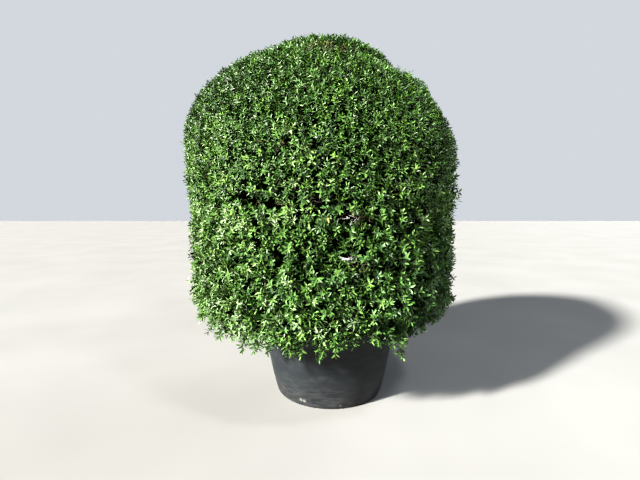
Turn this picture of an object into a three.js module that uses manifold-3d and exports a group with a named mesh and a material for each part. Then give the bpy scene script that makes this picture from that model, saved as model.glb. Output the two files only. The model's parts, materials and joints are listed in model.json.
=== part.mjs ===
// A japanese holly clipped to a beehive, standing in a round nursery pot.
// Millimetres, +Z up. The origin is the centre of the pot's flat underside.

import * as THREE from 'three';
import { mergeVertices } from 'three/addons/utils/BufferGeometryUtils.js';
import Module from 'manifold-3d';

const wasm = await Module();
wasm.setup();

// Clearance between pieces that touch on the real plant.
const GAP = 0.3;

// Pot: a moulded tub with drafted walls, a rounded foot and a rolled rim.
const POT_HEIGHT = 600;
const POT_RADIUS_AT_FOOT = 412;
const POT_DRAFT = 0.175;
const POT_FOOT_ROUND = 32;
const POT_WALL = 8;
const POT_FLOOR = 10;
const RIM_DEPTH = 48;
const RIM_PROUD = 16;
const RIM_ROUND = 8;
const CORNER_STEPS = 4;
const POT_SEGMENTS = 44;

// Soil: fills the pot to a little below the rim, with a low mound round the trunk.
const SOIL_BELOW_RIM = 62;
const SOIL_MOUND = 14;
const SOIL_MOUND_RADIUS = 170;
const SOIL_SLOPE_RADIUS = 290;

// Head: upright sides under a full dome, tucked in at the hem, its axis off the pot's.
const HEAD_TOP = 2584;
const HEAD_SPRING = 1560;
const HEAD_BELLY = 968;
const HEAD_HEM = 590;
const HEAD_RADIUS = 985;
const HEM_TUCK = 90;
const DOME_FULLNESS = 2.55;
const DOME_SHOULDER = 0.62;
const HEAD_SHIFT = -65;
const SHOULDER_SHIFT = -50;
const SHOULDER_HEIGHT = 2200;
const SHOULDER_SPREAD = 260;
const TIP_SHIFT = 40;
const TIP_SHIFT_START = 2350;

// Billows: how far the clipped face swells and sinks, more in the looser lower half.
const BILLOW_LOW = 24;
const BILLOW_HIGH = 9;

// Ledge: a bulge of stronger growth under the crease on the front left.
const LEDGE_AZIMUTH = -1.94;
const LEDGE_HEIGHT = 1338;
const LEDGE_SWELL = 34;
const LEDGE_SPREAD = 0.24;
const LEDGE_DEPTH = 62;

// Core: the closed inner growth that the twigs stand out of, hollow underneath.
const CORE_INSET = 118;
const CORE_HEM = 645;
const CORE_HOLLOW = 455;
const CORE_SEGMENTS = 30;

// Trunk: from the soil to its fork, with buttresses at the root flare.
const TRUNK_RADIUS = 62;
const FLARE_RADIUS = 100;
const FLARE_BUTTRESSES = 5;
const FORK_RADIUS = 38;
const FORK = new THREE.Vector3(-34, 10, 765);

// Boughs: a leader from the fork, and a ring of limbs that spread below it.
const RING_BOUGHS = 5;
const BOUGH_ROOT_SHARES = [0.74, 0.6];
const BOUGH_ROOT_RADIUS = 29;
const BOUGH_TIP_RADIUS = 17;
const BOUGH_REACH = 375;
const BOUGH_SPREAD = 120;
const BOUGH_RISE = 130;
const LEADER_TIP_RADIUS = 22;

// Foliage stems: they carry on from the boughs' tips and end inside the core.
const STEM_SHOWING = 30;
const STEM_SUNK = 90;

// Sprays: twigs at golden-angle places that branch once and end in leaves.
const SEED = 20;
const GOLDEN_ANGLE = Math.PI * (3 - Math.sqrt(5));
const FACE_SPRAYS = 80;
const SPRAY_ROOT_DEPTH = 200;
const SPRAY_TIP_DEPTH = 84;
const SPRAY_SWAY = 0.35;
const TWIG_RADIUS = 9;
const SIDE_TWIG_RADIUS = 3.4;
const SIDE_TWIG_LENGTH = 105;
const SIDE_TWIG_ANGLE = 1.05;
const SIDE_TWIG_SHARE = 0.72;

// Skirt: short sprays under the hem, and a few long ones that trail over the pot.
const SKIRT_SPRAYS = 12;
const SKIRT_RADIUS = 775;
const SKIRT_DROP = 135;
const SKIRT_ROOT_DEPTH = 45;
const SKIRT_LEAF_SPACING = 55;
const SKIRT_LEAF_ANGLE = 0.95;
const TRAILING_SPRAYS = 5;
const TRAILING_RADIUS = 640;
const TRAILING_DROP = 220;
const TRAILING_START = -1.62;

// Leaves: keeled blades, larger than life, that lie out from the twigs' ends.
const LEAF_LENGTH = 160;
const LEAF_WIDTH = 76;
const LEAF_KEEL = 9;
const LEAF_BROADEST = 0.45;
const LEAF_ROOT = 2.6;
const LEAF_ANGLE = 1.2;
const END_LEAF_ANGLE = 0.3;

// Room that twigs and leaves leave round the limbs and the pot.
const CLEAR_OF_LIMBS = 45;
const CLEAR_OF_POT = 15;

// Gaps in the clipped face: a long crease on the front left, and four pockets.
const FACE_GAPS = [
  { x: -410, z: 1408, width: 300, height: 58, depth: 190 },
  { x: -88, z: 1392, width: 72, height: 110, depth: 150 },
  { x: -301, z: 1130, width: 84, height: 74, depth: 160 },
  { x: 152, z: 1064, width: 96, height: 62, depth: 160 },
  { x: 341, z: 1053, width: 160, height: 52, depth: 180 },
];

const UP = new THREE.Vector3(0, 0, 1);

// A repeatable source of numbers from 0 to 1.
function randomFrom(seed) {
  let state = seed;
  return () => {
    state = (state + 0x6d2b79f5) | 0;
    let mixed = Math.imul(state ^ (state >>> 15), 1 | state);
    mixed ^= mixed + Math.imul(mixed ^ (mixed >>> 7), 61 | mixed);
    return ((mixed ^ (mixed >>> 14)) >>> 0) / 4294967296;
  };
}

// A three.js geometry as a solid that can be joined and cut.
function solidFrom(geometry) {
  const bare = geometry.clone();
  bare.deleteAttribute('normal');
  bare.deleteAttribute('uv');
  const merged = mergeVertices(bare, 1e-3);
  return new wasm.Manifold(new wasm.Mesh({
    numProp: 3,
    vertProperties: merged.attributes.position.array,
    triVerts: new Uint32Array(merged.index.array),
  }));
}

function geometryFrom(solid) {
  const mesh = solid.getMesh();
  const geometry = new THREE.BufferGeometry();
  geometry.setAttribute('position', new THREE.BufferAttribute(mesh.vertProperties, 3));
  geometry.setIndex(new THREE.BufferAttribute(mesh.triVerts, 1));
  geometry.computeVertexNormals();
  return geometry;
}

// The largest outer body of a solid: loose scraps go, and sealed hollows are filled.
function mainBody(solid) {
  const bodies = solid.decompose();
  return bodies.reduce((best, body) => (body.volume() > best.volume() ? body : best));
}

// A lathe about the vertical axis, from a profile of [radius, height] points.
function turned(profile, segments) {
  const points = profile.map(([radius, height]) => new THREE.Vector2(radius, height));
  return new THREE.LatheGeometry(points, segments).rotateX(Math.PI / 2);
}

// A closed limb along a curve. Its radius follows radiusAt(share of length, angle).
function limb(curve, radiusAt, sides, steps) {
  const geometry = new THREE.CylinderGeometry(1, 1, 1, sides, steps);
  const frames = curve.computeFrenetFrames(steps);
  const place = geometry.attributes.position;
  for (let i = 0; i < place.count; i += 1) {
    const step = Math.round((place.getY(i) + 0.5) * steps);
    const across = Math.hypot(place.getX(i), place.getZ(i));
    const angle = Math.atan2(place.getX(i), place.getZ(i));
    const radius = across > 1e-6 ? radiusAt(step / steps, angle) : 0;
    const point = curve.getPointAt(step / steps)
      .addScaledVector(frames.binormals[step], radius * Math.sin(angle))
      .addScaledVector(frames.normals[step], radius * Math.cos(angle));
    place.setXYZ(i, point.x, point.y, point.z);
  }
  return geometry;
}

function potWallRadius(height) {
  return POT_RADIUS_AT_FOOT + POT_DRAFT * height;
}

const RIM_RADIUS = potWallRadius(POT_HEIGHT) + RIM_PROUD;
const SOIL_EDGE = POT_HEIGHT - SOIL_BELOW_RIM;
const SOIL_TOP = SOIL_EDGE + SOIL_MOUND;

// The rounded corner where the wall meets the flat foot, from underside to wall.
function footCorner(round, lift, inset) {
  const lean = Math.atan(POT_DRAFT);
  const top = lift + round - round * Math.sin(lean);
  const centre = potWallRadius(top) - inset - round * Math.cos(lean);
  const corner = [];
  for (let i = 0; i <= CORNER_STEPS; i += 1) {
    const angle = -Math.PI / 2 + (Math.PI / 2 - lean) * (i / CORNER_STEPS);
    corner.push([centre + round * Math.cos(angle), lift + round + round * Math.sin(angle)]);
  }
  return corner;
}

function potGeometry() {
  const band = POT_HEIGHT - RIM_DEPTH;
  const outside = [
    [0, 0],
    ...footCorner(POT_FOOT_ROUND, 0, 0),
    [potWallRadius(band), band],
    [potWallRadius(band) + RIM_PROUD, band + RIM_ROUND],
    [RIM_RADIUS, POT_HEIGHT - RIM_ROUND],
    [RIM_RADIUS - RIM_ROUND, POT_HEIGHT],
    [potWallRadius(POT_HEIGHT), POT_HEIGHT],
    [potWallRadius(POT_HEIGHT) - POT_WALL, POT_HEIGHT - RIM_ROUND],
  ];
  const inside = footCorner(POT_FOOT_ROUND - POT_WALL, POT_FLOOR, POT_WALL).reverse();
  return turned([...outside, ...inside, [0, POT_FLOOR]], POT_SEGMENTS);
}

function soilGeometry() {
  const inset = POT_WALL + GAP;
  const profile = [
    [0, POT_FLOOR + GAP],
    ...footCorner(POT_FOOT_ROUND - POT_WALL, POT_FLOOR + GAP, inset),
    [potWallRadius(SOIL_EDGE) - inset, SOIL_EDGE],
    [SOIL_SLOPE_RADIUS, SOIL_EDGE + SOIL_MOUND / 3],
    [SOIL_MOUND_RADIUS, SOIL_TOP],
    [0, SOIL_TOP],
  ];
  return turned(profile, POT_SEGMENTS);
}

// The head's outline radius, before billows, at a height.
function outlineRadius(z) {
  if (z > HEAD_SPRING) {
    const rise = Math.min(1, (z - HEAD_SPRING) / (HEAD_TOP - HEAD_SPRING));
    return HEAD_RADIUS * (1 - rise ** DOME_FULLNESS) ** DOME_SHOULDER;
  }
  const tuck = Math.max(0, (HEAD_BELLY - z) / (HEAD_BELLY - HEAD_HEM));
  return HEAD_RADIUS - HEM_TUCK * tuck ** 2;
}

// How far the head's middle lies off the pot's axis at a height.
function headShift(z) {
  const shoulder = Math.exp(-(((z - SHOULDER_HEIGHT) / SHOULDER_SPREAD) ** 2));
  const tip = THREE.MathUtils.smoothstep(z, TIP_SHIFT_START, HEAD_TOP);
  return HEAD_SHIFT + SHOULDER_SHIFT * shoulder + TIP_SHIFT * tip;
}

// Soft billows of the clipped face and the ledge, as a radius to add.
function billow(z, azimuth) {
  const low = THREE.MathUtils.smoothstep(HEAD_SPRING - z, -300, 500);
  const size = THREE.MathUtils.lerp(BILLOW_HIGH, BILLOW_LOW, low);
  const broad = Math.sin(3 * azimuth + z / 190);
  const fine = Math.sin(7 * azimuth - z / 120) * Math.cos(z / 95);
  const aside = (azimuth - LEDGE_AZIMUTH) / LEDGE_SPREAD;
  const above = (z - LEDGE_HEIGHT) / LEDGE_DEPTH;
  const ledge = LEDGE_SWELL * Math.exp(-(aside ** 2) - above ** 2);
  return size * (0.55 * broad + 0.45 * fine) + ledge;
}

// A point of the head's outline, and the direction that the face looks there.
function facePoint(z, azimuth) {
  const nudge = 4;
  const slope = (outlineRadius(z + nudge) - outlineRadius(z - nudge)) / (2 * nudge);
  const point = new THREE.Vector3(Math.cos(azimuth), Math.sin(azimuth), 0);
  const outward = point.clone().setZ(-slope).normalize();
  point.multiplyScalar(outlineRadius(z)).add(new THREE.Vector3(headShift(z), 0, z));
  return { point, outward };
}

// Heights that share out the head's face evenly, for shares from 0 (hem) to 1 (top).
function heightsByArea(steps = 240) {
  const heights = [];
  const areas = [0];
  for (let i = 0; i <= steps; i += 1) {
    const turn = (Math.PI / 2) * (i / steps);
    heights.push(HEAD_HEM + (HEAD_TOP - HEAD_HEM) * Math.sin(turn));
  }
  for (let i = 1; i <= steps; i += 1) {
    const low = outlineRadius(heights[i - 1]);
    const high = outlineRadius(heights[i]);
    const run = Math.hypot(high - low, heights[i] - heights[i - 1]);
    areas.push(areas[i - 1] + (low + high) * run);
  }
  return (share) => {
    const wanted = share * areas[steps];
    const i = Math.max(1, areas.findIndex((area) => area >= wanted));
    const part = (wanted - areas[i - 1]) / (areas[i] - areas[i - 1]);
    return THREE.MathUtils.lerp(heights[i - 1], heights[i], part);
  };
}

// The height of the core's hollow underside at a radius from the head's middle.
function hollowHeight(radius) {
  const hem = outlineRadius(CORE_HEM) - CORE_INSET;
  return CORE_HEM + CORE_HOLLOW * Math.max(0, 1 - (radius / hem) ** 2) ** 2;
}

function coreGeometry() {
  const hem = outlineRadius(CORE_HEM) - CORE_INSET;
  const profile = [0, 0.3, 0.55, 0.78, 0.95]
    .map((share) => [hem * share, hollowHeight(hem * share)]);
  profile.push([hem, CORE_HEM + 12]);
  const sideRings = 6;
  for (let i = 1; i <= sideRings; i += 1) {
    const z = THREE.MathUtils.lerp(CORE_HEM, HEAD_SPRING, i / sideRings);
    profile.push([outlineRadius(z) - CORE_INSET, z]);
  }
  const domeRings = 8;
  for (let i = 1; i < domeRings; i += 1) {
    const rise = Math.sin((Math.PI / 2) * (i / domeRings));
    const { point, outward } = facePoint(THREE.MathUtils.lerp(HEAD_SPRING, HEAD_TOP, rise), 0);
    const shift = headShift(point.z);
    point.addScaledVector(outward, -CORE_INSET);
    profile.push([point.x - shift, point.z]);
  }
  profile.push([0, HEAD_TOP - CORE_INSET]);
  const geometry = turned(profile, CORE_SEGMENTS);
  const place = geometry.attributes.position;
  for (let i = 0; i < place.count; i += 1) {
    const azimuth = Math.atan2(place.getY(i), place.getX(i));
    const z = place.getZ(i);
    const swell = 1 + billow(z, azimuth) / HEAD_RADIUS;
    place.setXYZ(i, place.getX(i) * swell + headShift(z), place.getY(i) * swell, z);
  }
  return geometry;
}

// An oval cutter that opens one gap in the face, on the side that looks along +Y.
function gapCutter(gap) {
  const radius = outlineRadius(gap.z);
  const x = gap.x - headShift(gap.z);
  const face = new THREE.Vector3(gap.x, -Math.sqrt(radius ** 2 - x ** 2), gap.z);
  const cutter = new THREE.SphereGeometry(1, 9, 6);
  cutter.scale(gap.width / 2, gap.depth, gap.height / 2);
  cutter.rotateZ(Math.atan2(x, radius));
  return cutter.translate(face.x, face.y, face.z);
}

function insideGap(point) {
  return FACE_GAPS.some((gap) => point.y < 0
    && Math.hypot((point.x - gap.x) / gap.width, (point.z - gap.z) / gap.height) < 0.55);
}

const trunkCurve = new THREE.CubicBezierCurve3(
  new THREE.Vector3(0, 0, SOIL_TOP + GAP),
  new THREE.Vector3(0, 0, SOIL_TOP + 90),
  FORK.clone().add(new THREE.Vector3(14, -10, -90)),
  FORK,
);

// Buttressed at the soil, then even, then drawn in to the leader at the fork.
function trunkRadius(share, angle) {
  const flare = (FLARE_RADIUS - TRUNK_RADIUS) * (1 - share) ** 5;
  const buttress = 0.73 + 0.27 * Math.cos(FLARE_BUTTRESSES * angle);
  const draw = THREE.MathUtils.smoothstep(share, 0.74, 1);
  return THREE.MathUtils.lerp(TRUNK_RADIUS, FORK_RADIUS, draw) + flare * buttress;
}

// The leader goes on from the fork, a clearance above the trunk's end.
function leaderCurve() {
  const along = trunkCurve.getTangentAt(1);
  const tip = new THREE.Vector3(HEAD_SHIFT, 24, hollowHeight(0) - STEM_SHOWING);
  return new THREE.CubicBezierCurve3(
    FORK.clone().addScaledVector(along, GAP),
    FORK.clone().addScaledVector(along, BOUGH_RISE),
    tip.clone().addScaledVector(UP, -BOUGH_RISE),
    tip,
  );
}

// A ring bough leaves the trunk sideways and turns up to the core's hollow underside.
function boughCurve(number) {
  const azimuth = (2 * Math.PI * (number - 0.6)) / RING_BOUGHS + 0.22 * Math.sin(2.4 * number);
  const reach = BOUGH_REACH * (1 + 0.16 * Math.cos(2.9 * number));
  const across = new THREE.Vector3(Math.cos(azimuth), Math.sin(azimuth), 0);
  const root = trunkCurve.getPointAt(BOUGH_ROOT_SHARES[number % 2]);
  const tip = across.clone().multiplyScalar(reach)
    .add(new THREE.Vector3(HEAD_SHIFT, 0, hollowHeight(reach) - STEM_SHOWING));
  const leave = root.clone().addScaledVector(across, BOUGH_SPREAD)
    .addScaledVector(UP, BOUGH_SPREAD * 0.4);
  const arrive = tip.clone().addScaledVector(across, -BOUGH_RISE / 2)
    .addScaledVector(UP, -BOUGH_RISE);
  return new THREE.CubicBezierCurve3(root, leave, arrive, tip);
}

const taper = (from, to) => (share) => THREE.MathUtils.lerp(from, to, share);

// Trunk, leader and ring boughs. Each ring bough is trimmed to clear the limbs before it.
function growLimbs() {
  const wanted = [
    { name: 'trunk', curve: trunkCurve, radiusAt: trunkRadius, sides: 20, steps: 9 },
    {
      name: 'bough_leader',
      curve: leaderCurve(),
      radiusAt: taper(FORK_RADIUS - 1, LEADER_TIP_RADIUS),
      sides: 8,
      steps: 6,
    },
  ];
  for (let number = 1; number <= RING_BOUGHS; number += 1) {
    wanted.push({
      name: `bough_${number}`,
      curve: boughCurve(number),
      radiusAt: taper(BOUGH_ROOT_RADIUS, BOUGH_TIP_RADIUS),
      sides: 8,
      steps: 7,
      trimmed: true,
    });
  }
  const room = [];
  return wanted.map(({ name, curve, radiusAt, sides, steps, trimmed }) => {
    const whole = solidFrom(limb(curve, radiusAt, sides, steps));
    const solid = trimmed ? mainBody(wasm.Manifold.difference([whole, ...room])) : whole;
    room.push(solidFrom(limb(curve, (share, angle) => radiusAt(share, angle) + GAP, sides, steps)));
    return { name, curve, tipRadius: radiusAt(1, 0), solid };
  });
}

// The short stem of the foliage that carries on from a bough's tip into the core.
function foliageStem({ curve, tipRadius }) {
  const along = curve.getTangentAt(1);
  const start = curve.getPointAt(1).addScaledVector(along, GAP);
  const end = start.clone().addScaledVector(along, STEM_SHOWING + STEM_SUNK);
  return limb(new THREE.LineCurve3(start, end), () => tipRadius, 8, 1);
}

// The part of a direction that lies square to an axis, at unit length.
function squareTo(axis, direction) {
  return direction.clone().addScaledVector(axis, -direction.dot(axis)).normalize();
}

// A direction at an angle from another, turned about it by a spin.
function leaving(forward, angle, spin) {
  const across = squareTo(forward, new THREE.Vector3(0.31, 0.52, 0.8));
  across.applyAxisAngle(forward, spin);
  return across.multiplyScalar(Math.sin(angle)).addScaledVector(forward, Math.cos(angle));
}

// A closed three-cornered loft. Each station has a centre, an axis, the direction of its
// keel corner, and how far its side corners, keel and back stand from the centre.
function loft(stations) {
  const steps = stations.length - 1;
  const geometry = new THREE.ConeGeometry(1, 1, 3, steps);
  const place = geometry.attributes.position;
  for (let i = 0; i < place.count; i += 1) {
    const station = stations[Math.round((place.getY(i) + 0.5) * steps)];
    const { centre, axis, towards, width, keel, back } = station;
    const corner = new THREE.Vector2(place.getX(i), place.getZ(i)).normalize();
    const side = axis.clone().cross(towards);
    const point = centre.clone()
      .addScaledVector(side, corner.x * width)
      .addScaledVector(towards, corner.y * (corner.y > 0 ? keel : back));
    place.setXYZ(i, point.x, point.y, point.z);
  }
  return geometry;
}

// The stations of a leaf's blade from its root, its keel on the side of an upper direction.
function blade(root, along, upper, length) {
  const towards = squareTo(along, upper);
  const width = (LEAF_WIDTH / Math.sqrt(3)) * (length / LEAF_LENGTH);
  const middle = root.clone().addScaledVector(along, length * LEAF_BROADEST);
  const tip = root.clone().addScaledVector(along, length);
  return [
    { centre: middle, axis: along, towards, width, keel: LEAF_KEEL, back: 0 },
    { centre: tip, axis: along, towards, width: 0, keel: 0, back: 0 },
  ];
}

function round(centre, axis, towards, radius) {
  return { centre, axis, towards, width: radius, keel: radius, back: radius };
}

// A leaf whose root is sunk to the middle of the twig that bears it.
function sideLeaf(root, along, upper, length) {
  const start = round(root, along, squareTo(along, upper), LEAF_ROOT);
  return loft([start, ...blade(root, along, upper, length)]);
}

// A three-sided twig that broadens into the leaf at its end.
function leafyTwig(root, tip, radius, leafAlong, leafLength) {
  const axis = tip.clone().sub(root).normalize();
  const towards = squareTo(axis, leafAlong).negate();
  return loft([
    round(root, axis, towards, radius),
    round(tip, axis, towards, radius * 0.8),
    ...blade(tip, leafAlong, axis, leafLength),
  ]);
}

// True where every corner of a shape keeps to the head's space and clears limbs and pot.
function keepsClear(geometry, limbPoints) {
  const place = geometry.attributes.position;
  const point = new THREE.Vector3();
  for (let i = 0; i < place.count; i += 1) {
    point.fromBufferAttribute(place, i);
    const out = Math.hypot(point.x - headShift(point.z), point.y);
    const fromPot = Math.hypot(point.x, point.y) - RIM_RADIUS;
    if (point.z > HEAD_TOP || out > outlineRadius(point.z) + 1) return false;
    if (fromPot < CLEAR_OF_POT && point.z < POT_HEIGHT + CLEAR_OF_POT) return false;
    if (limbPoints.some((near) => near.distanceTo(point) < CLEAR_OF_LIMBS)) return false;
  }
  return true;
}

// Grows a face spray by the branching rule: a twig with its end leaf and two side leaves,
// and a side twig with two leaves of its own. The end leaf's tip lies on the outline.
function growFaceSpray({ point, outward }, random, keep) {
  const spin = 2 * Math.PI * random();
  const leafAlong = (number) => leaving(outward, LEAF_ANGLE, spin + number * GOLDEN_ANGLE);
  const tip = point.clone().addScaledVector(outward, -SPRAY_TIP_DEPTH);
  const inward = leaving(outward, SPRAY_SWAY * random(), spin).negate();
  const root = tip.clone().addScaledVector(inward, SPRAY_ROOT_DEPTH - SPRAY_TIP_DEPTH);
  const endLength = SPRAY_TIP_DEPTH / Math.cos(END_LEAF_ANGLE) - 2;
  const endAlong = leaving(outward, END_LEAF_ANGLE, spin);
  if (!keep(leafyTwig(root, tip, TWIG_RADIUS, endAlong, endLength))) return;
  const size = LEAF_LENGTH * (0.9 + 0.1 * random());
  keep(sideLeaf(root.clone().lerp(tip, 0.95), leafAlong(1), outward, size));
  keep(sideLeaf(root.clone().lerp(tip, 0.8), leafAlong(2), outward, size));
  const sideRoot = root.clone().lerp(tip, SIDE_TWIG_SHARE);
  const sideAlong = leaving(outward, SIDE_TWIG_ANGLE, spin + 3 * GOLDEN_ANGLE);
  const sideTip = sideRoot.clone().addScaledVector(sideAlong, SIDE_TWIG_LENGTH);
  const sideEnd = leaving(outward, LEAF_ANGLE, spin + 3 * GOLDEN_ANGLE - 0.5);
  if (!keep(leafyTwig(sideRoot, sideTip, SIDE_TWIG_RADIUS, sideEnd, size * 0.85))) return;
  keep(sideLeaf(sideRoot.clone().lerp(sideTip, 0.9), leafAlong(3.5), outward, size * 0.85));
}

function growFace(random, keep) {
  const heightAt = heightsByArea();
  for (let i = 0; i < FACE_SPRAYS; i += 1) {
    const share = i / (FACE_SPRAYS - 1);
    const place = facePoint(heightAt(share), i * GOLDEN_ANGLE);
    if (share === 1) place.outward.copy(UP);
    if (!insideGap(place.point)) growFaceSpray(place, random, keep);
  }
}

// A spray that hangs from the core's underside, with leaves in turn along its twig.
function growHangingSpray(azimuth, radius, drop, random, keep) {
  const across = new THREE.Vector3(Math.cos(azimuth), Math.sin(azimuth), 0);
  const root = across.clone().multiplyScalar(radius)
    .add(new THREE.Vector3(HEAD_SHIFT, 0, hollowHeight(radius) + SKIRT_ROOT_DEPTH));
  const down = across.clone().multiplyScalar(0.05 + 0.2 * random()).sub(UP).normalize();
  const tip = root.clone().addScaledVector(down, drop);
  const endAlong = across.clone().multiplyScalar(0.7).sub(UP).normalize();
  if (!keep(leafyTwig(root, tip, TWIG_RADIUS, endAlong, LEAF_LENGTH * 0.7))) return;
  const leaves = Math.round(drop / SKIRT_LEAF_SPACING);
  for (let i = 1; i <= leaves; i += 1) {
    const out = leaving(down, SKIRT_LEAF_ANGLE, azimuth + i * GOLDEN_ANGLE);
    const from = tip.clone().lerp(root, (0.62 * (i - 0.6)) / leaves);
    keep(sideLeaf(from, out, across, LEAF_LENGTH * (0.6 + 0.1 * random())));
  }
}

function growSkirt(random, keep) {
  for (let i = 0; i < SKIRT_SPRAYS; i += 1) {
    const azimuth = (2 * Math.PI * (i + 0.5 * random())) / SKIRT_SPRAYS;
    growHangingSpray(azimuth, SKIRT_RADIUS, SKIRT_DROP * (0.8 + 0.3 * random()), random, keep);
  }
  for (let i = 0; i < TRAILING_SPRAYS; i += 1) {
    const azimuth = TRAILING_START + i * GOLDEN_ANGLE;
    growHangingSpray(azimuth, TRAILING_RADIUS, TRAILING_DROP * (0.8 + 0.2 * random()), random, keep);
  }
}

function foliageSolid(limbs) {
  const random = randomFrom(SEED);
  const limbPoints = limbs.flatMap(({ curve }) => curve.getSpacedPoints(8));
  const shoots = [];
  const keep = (geometry) => {
    const clear = keepsClear(geometry, limbPoints);
    if (clear) shoots.push(solidFrom(geometry));
    return clear;
  };
  growFace(random, keep);
  growSkirt(random, keep);
  const gaps = FACE_GAPS.map((gap) => solidFrom(gapCutter(gap)));
  const core = wasm.Manifold.difference([solidFrom(coreGeometry()), ...gaps]);
  const stems = limbs.filter(({ name }) => name !== 'trunk')
    .map((bough) => solidFrom(foliageStem(bough)));
  return mainBody(wasm.Manifold.union([core, ...stems, ...shoots]));
}

function named(name, geometry, colour, roughness) {
  const material = new THREE.MeshStandardMaterial({ color: colour, roughness, metalness: 0 });
  const mesh = new THREE.Mesh(geometry, material);
  mesh.name = name;
  return mesh;
}

function buildPlant() {
  const plant = new THREE.Group();
  plant.add(named('pot', potGeometry(), 0x34393b, 0.55));
  plant.add(named('soil', soilGeometry(), 0x3b2c20, 0.95));
  const limbs = growLimbs();
  for (const { name, solid } of limbs) {
    plant.add(named(name, geometryFrom(solid), 0x6f6355, 0.85));
  }
  plant.add(named('foliage', geometryFrom(foliageSolid(limbs)), 0x4b6a35, 0.5));
  return plant;
}

export default buildPlant();
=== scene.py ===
import json
import math

import bpy
import numpy as np
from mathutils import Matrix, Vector, noise
from mathutils.kdtree import KDTree

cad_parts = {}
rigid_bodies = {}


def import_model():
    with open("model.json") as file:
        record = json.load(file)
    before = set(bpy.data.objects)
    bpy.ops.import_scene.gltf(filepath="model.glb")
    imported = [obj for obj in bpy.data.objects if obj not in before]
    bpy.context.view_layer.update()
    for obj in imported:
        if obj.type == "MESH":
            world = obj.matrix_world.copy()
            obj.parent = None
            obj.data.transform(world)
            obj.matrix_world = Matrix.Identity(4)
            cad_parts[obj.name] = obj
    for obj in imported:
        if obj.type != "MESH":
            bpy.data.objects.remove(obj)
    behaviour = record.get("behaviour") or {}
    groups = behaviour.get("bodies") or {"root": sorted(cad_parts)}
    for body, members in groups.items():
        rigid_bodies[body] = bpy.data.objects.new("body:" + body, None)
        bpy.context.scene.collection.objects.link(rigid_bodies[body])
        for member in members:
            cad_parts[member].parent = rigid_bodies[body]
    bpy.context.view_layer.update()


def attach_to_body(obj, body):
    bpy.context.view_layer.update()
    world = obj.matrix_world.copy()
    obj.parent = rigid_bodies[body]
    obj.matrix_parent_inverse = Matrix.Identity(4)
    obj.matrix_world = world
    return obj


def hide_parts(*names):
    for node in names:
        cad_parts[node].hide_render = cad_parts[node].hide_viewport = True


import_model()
BODY = "root"

# Pot: a moulded tub with drafted walls, a rounded foot and a rolled rim.
POT_HEIGHT = 0.600
POT_RADIUS_AT_FOOT = 0.412
POT_DRAFT = 0.175
POT_FOOT_ROUND = 0.022
POT_FOOT_TUCK = 0.018
POT_FOOT_TUCK_HEIGHT = 0.300
POT_WALL = 0.008
POT_FLOOR = 0.010
RIM_DEPTH = 0.048
RIM_PROUD = 0.016
RIM_ROUND = 0.007
LIP_ROUND = 0.006
BAND_FILLET = 0.006
BAND_EDGE = 0.005
POT_SEGMENTS = 200
POT_WAVE = 0.0011

# Pot finish: colours, how strongly smears and dust show, and pale round marks (place and radius).
POT_DARK = (0.0044, 0.0064, 0.0092)
POT_LIGHT = (0.0072, 0.0102, 0.0134)
POT_SMEAR = (0.030, 0.036, 0.038)
POT_SMEARED = 0.30
POT_STROKE = (0.0050, 0.0062, 0.0080)
POT_DUST = (0.078, 0.077, 0.072)
POT_DUSTED = 0.28
POT_MARK = (0.115, 0.118, 0.100)
POT_MARKS = [
    ((-0.203, -0.353, 0.052), 0.011),
    ((-0.180, -0.366, 0.048), 0.011),
    ((0.068, -0.398, 0.030), 0.006),
]

# Soil: fills the pot to a little below the rim, with a low mound round the trunk.
SOIL_BELOW_RIM = 0.062
SOIL_GAP = 0.0004
SOIL_MOUND = 0.012
SOIL_MOUND_RADIUS = 0.170
SOIL_SLOPE_RADIUS = 0.290
SOIL_RELIEF = 0.005
SOIL_SEGMENTS = 150
SOIL_DARK = (0.012, 0.008, 0.005)
SOIL_BROWN = (0.055, 0.034, 0.020)
SOIL_FIBRE = (0.120, 0.085, 0.055)
SOIL_CLODS = 1500
CLOD_REACH = (0.11, 0.485)
FALLEN_LEAVES = 220
FALLEN_REACH = (0.12, 0.48)

# Head: upright sides under a full dome, tucked in at the hem, its axis off the pot's.
HEAD_TOP = 2.584
HEAD_SPRING = 1.560
HEAD_BELLY = 0.968
HEAD_HEM = 0.590
HEAD_RADIUS = 0.985
HEM_TUCK = 0.090
DOME_FULLNESS = 2.55
DOME_SHOULDER = 0.62
HEAD_SHIFT = -0.065
SHOULDER_SHIFT = -0.050
SHOULDER_HEIGHT = 2.200
SHOULDER_SPREAD = 0.260
TIP_SHIFT = 0.040
TIP_SHIFT_START = 2.350

# Billows of the clipped face, and the ledge of stronger growth under the long crease.
BILLOW_LOW = 0.024
BILLOW_HIGH = 0.009
LEDGE_AZIMUTH = -1.94
LEDGE_HEIGHT = 1.338
LEDGE_SWELL = 0.034
LEDGE_SPREAD = 0.24
LEDGE_DEPTH = 0.062

# Dents in the outline: azimuth, height, depth (a swell where negative), spread round and up.
HEAD_DENTS = [
    (-0.45, 2.318, 0.058, 0.74, 0.080),
    (-0.40, 2.190, -0.032, 0.50, 0.042),
    (-0.25, 1.000, -0.020, 0.50, 0.260),
    (-0.25, 0.695, -0.050, 0.50, 0.090),
    (-0.90, 2.460, -0.012, 0.50, 0.050),
    (-2.95, 1.950, -0.020, 0.50, 0.200),
    (-2.45, 2.530, -0.016, 0.60, 0.050),
    (-2.45, 2.430, 0.018, 0.60, 0.060),
    (-2.90, 0.960, 0.022, 0.50, 0.140),
]

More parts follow.
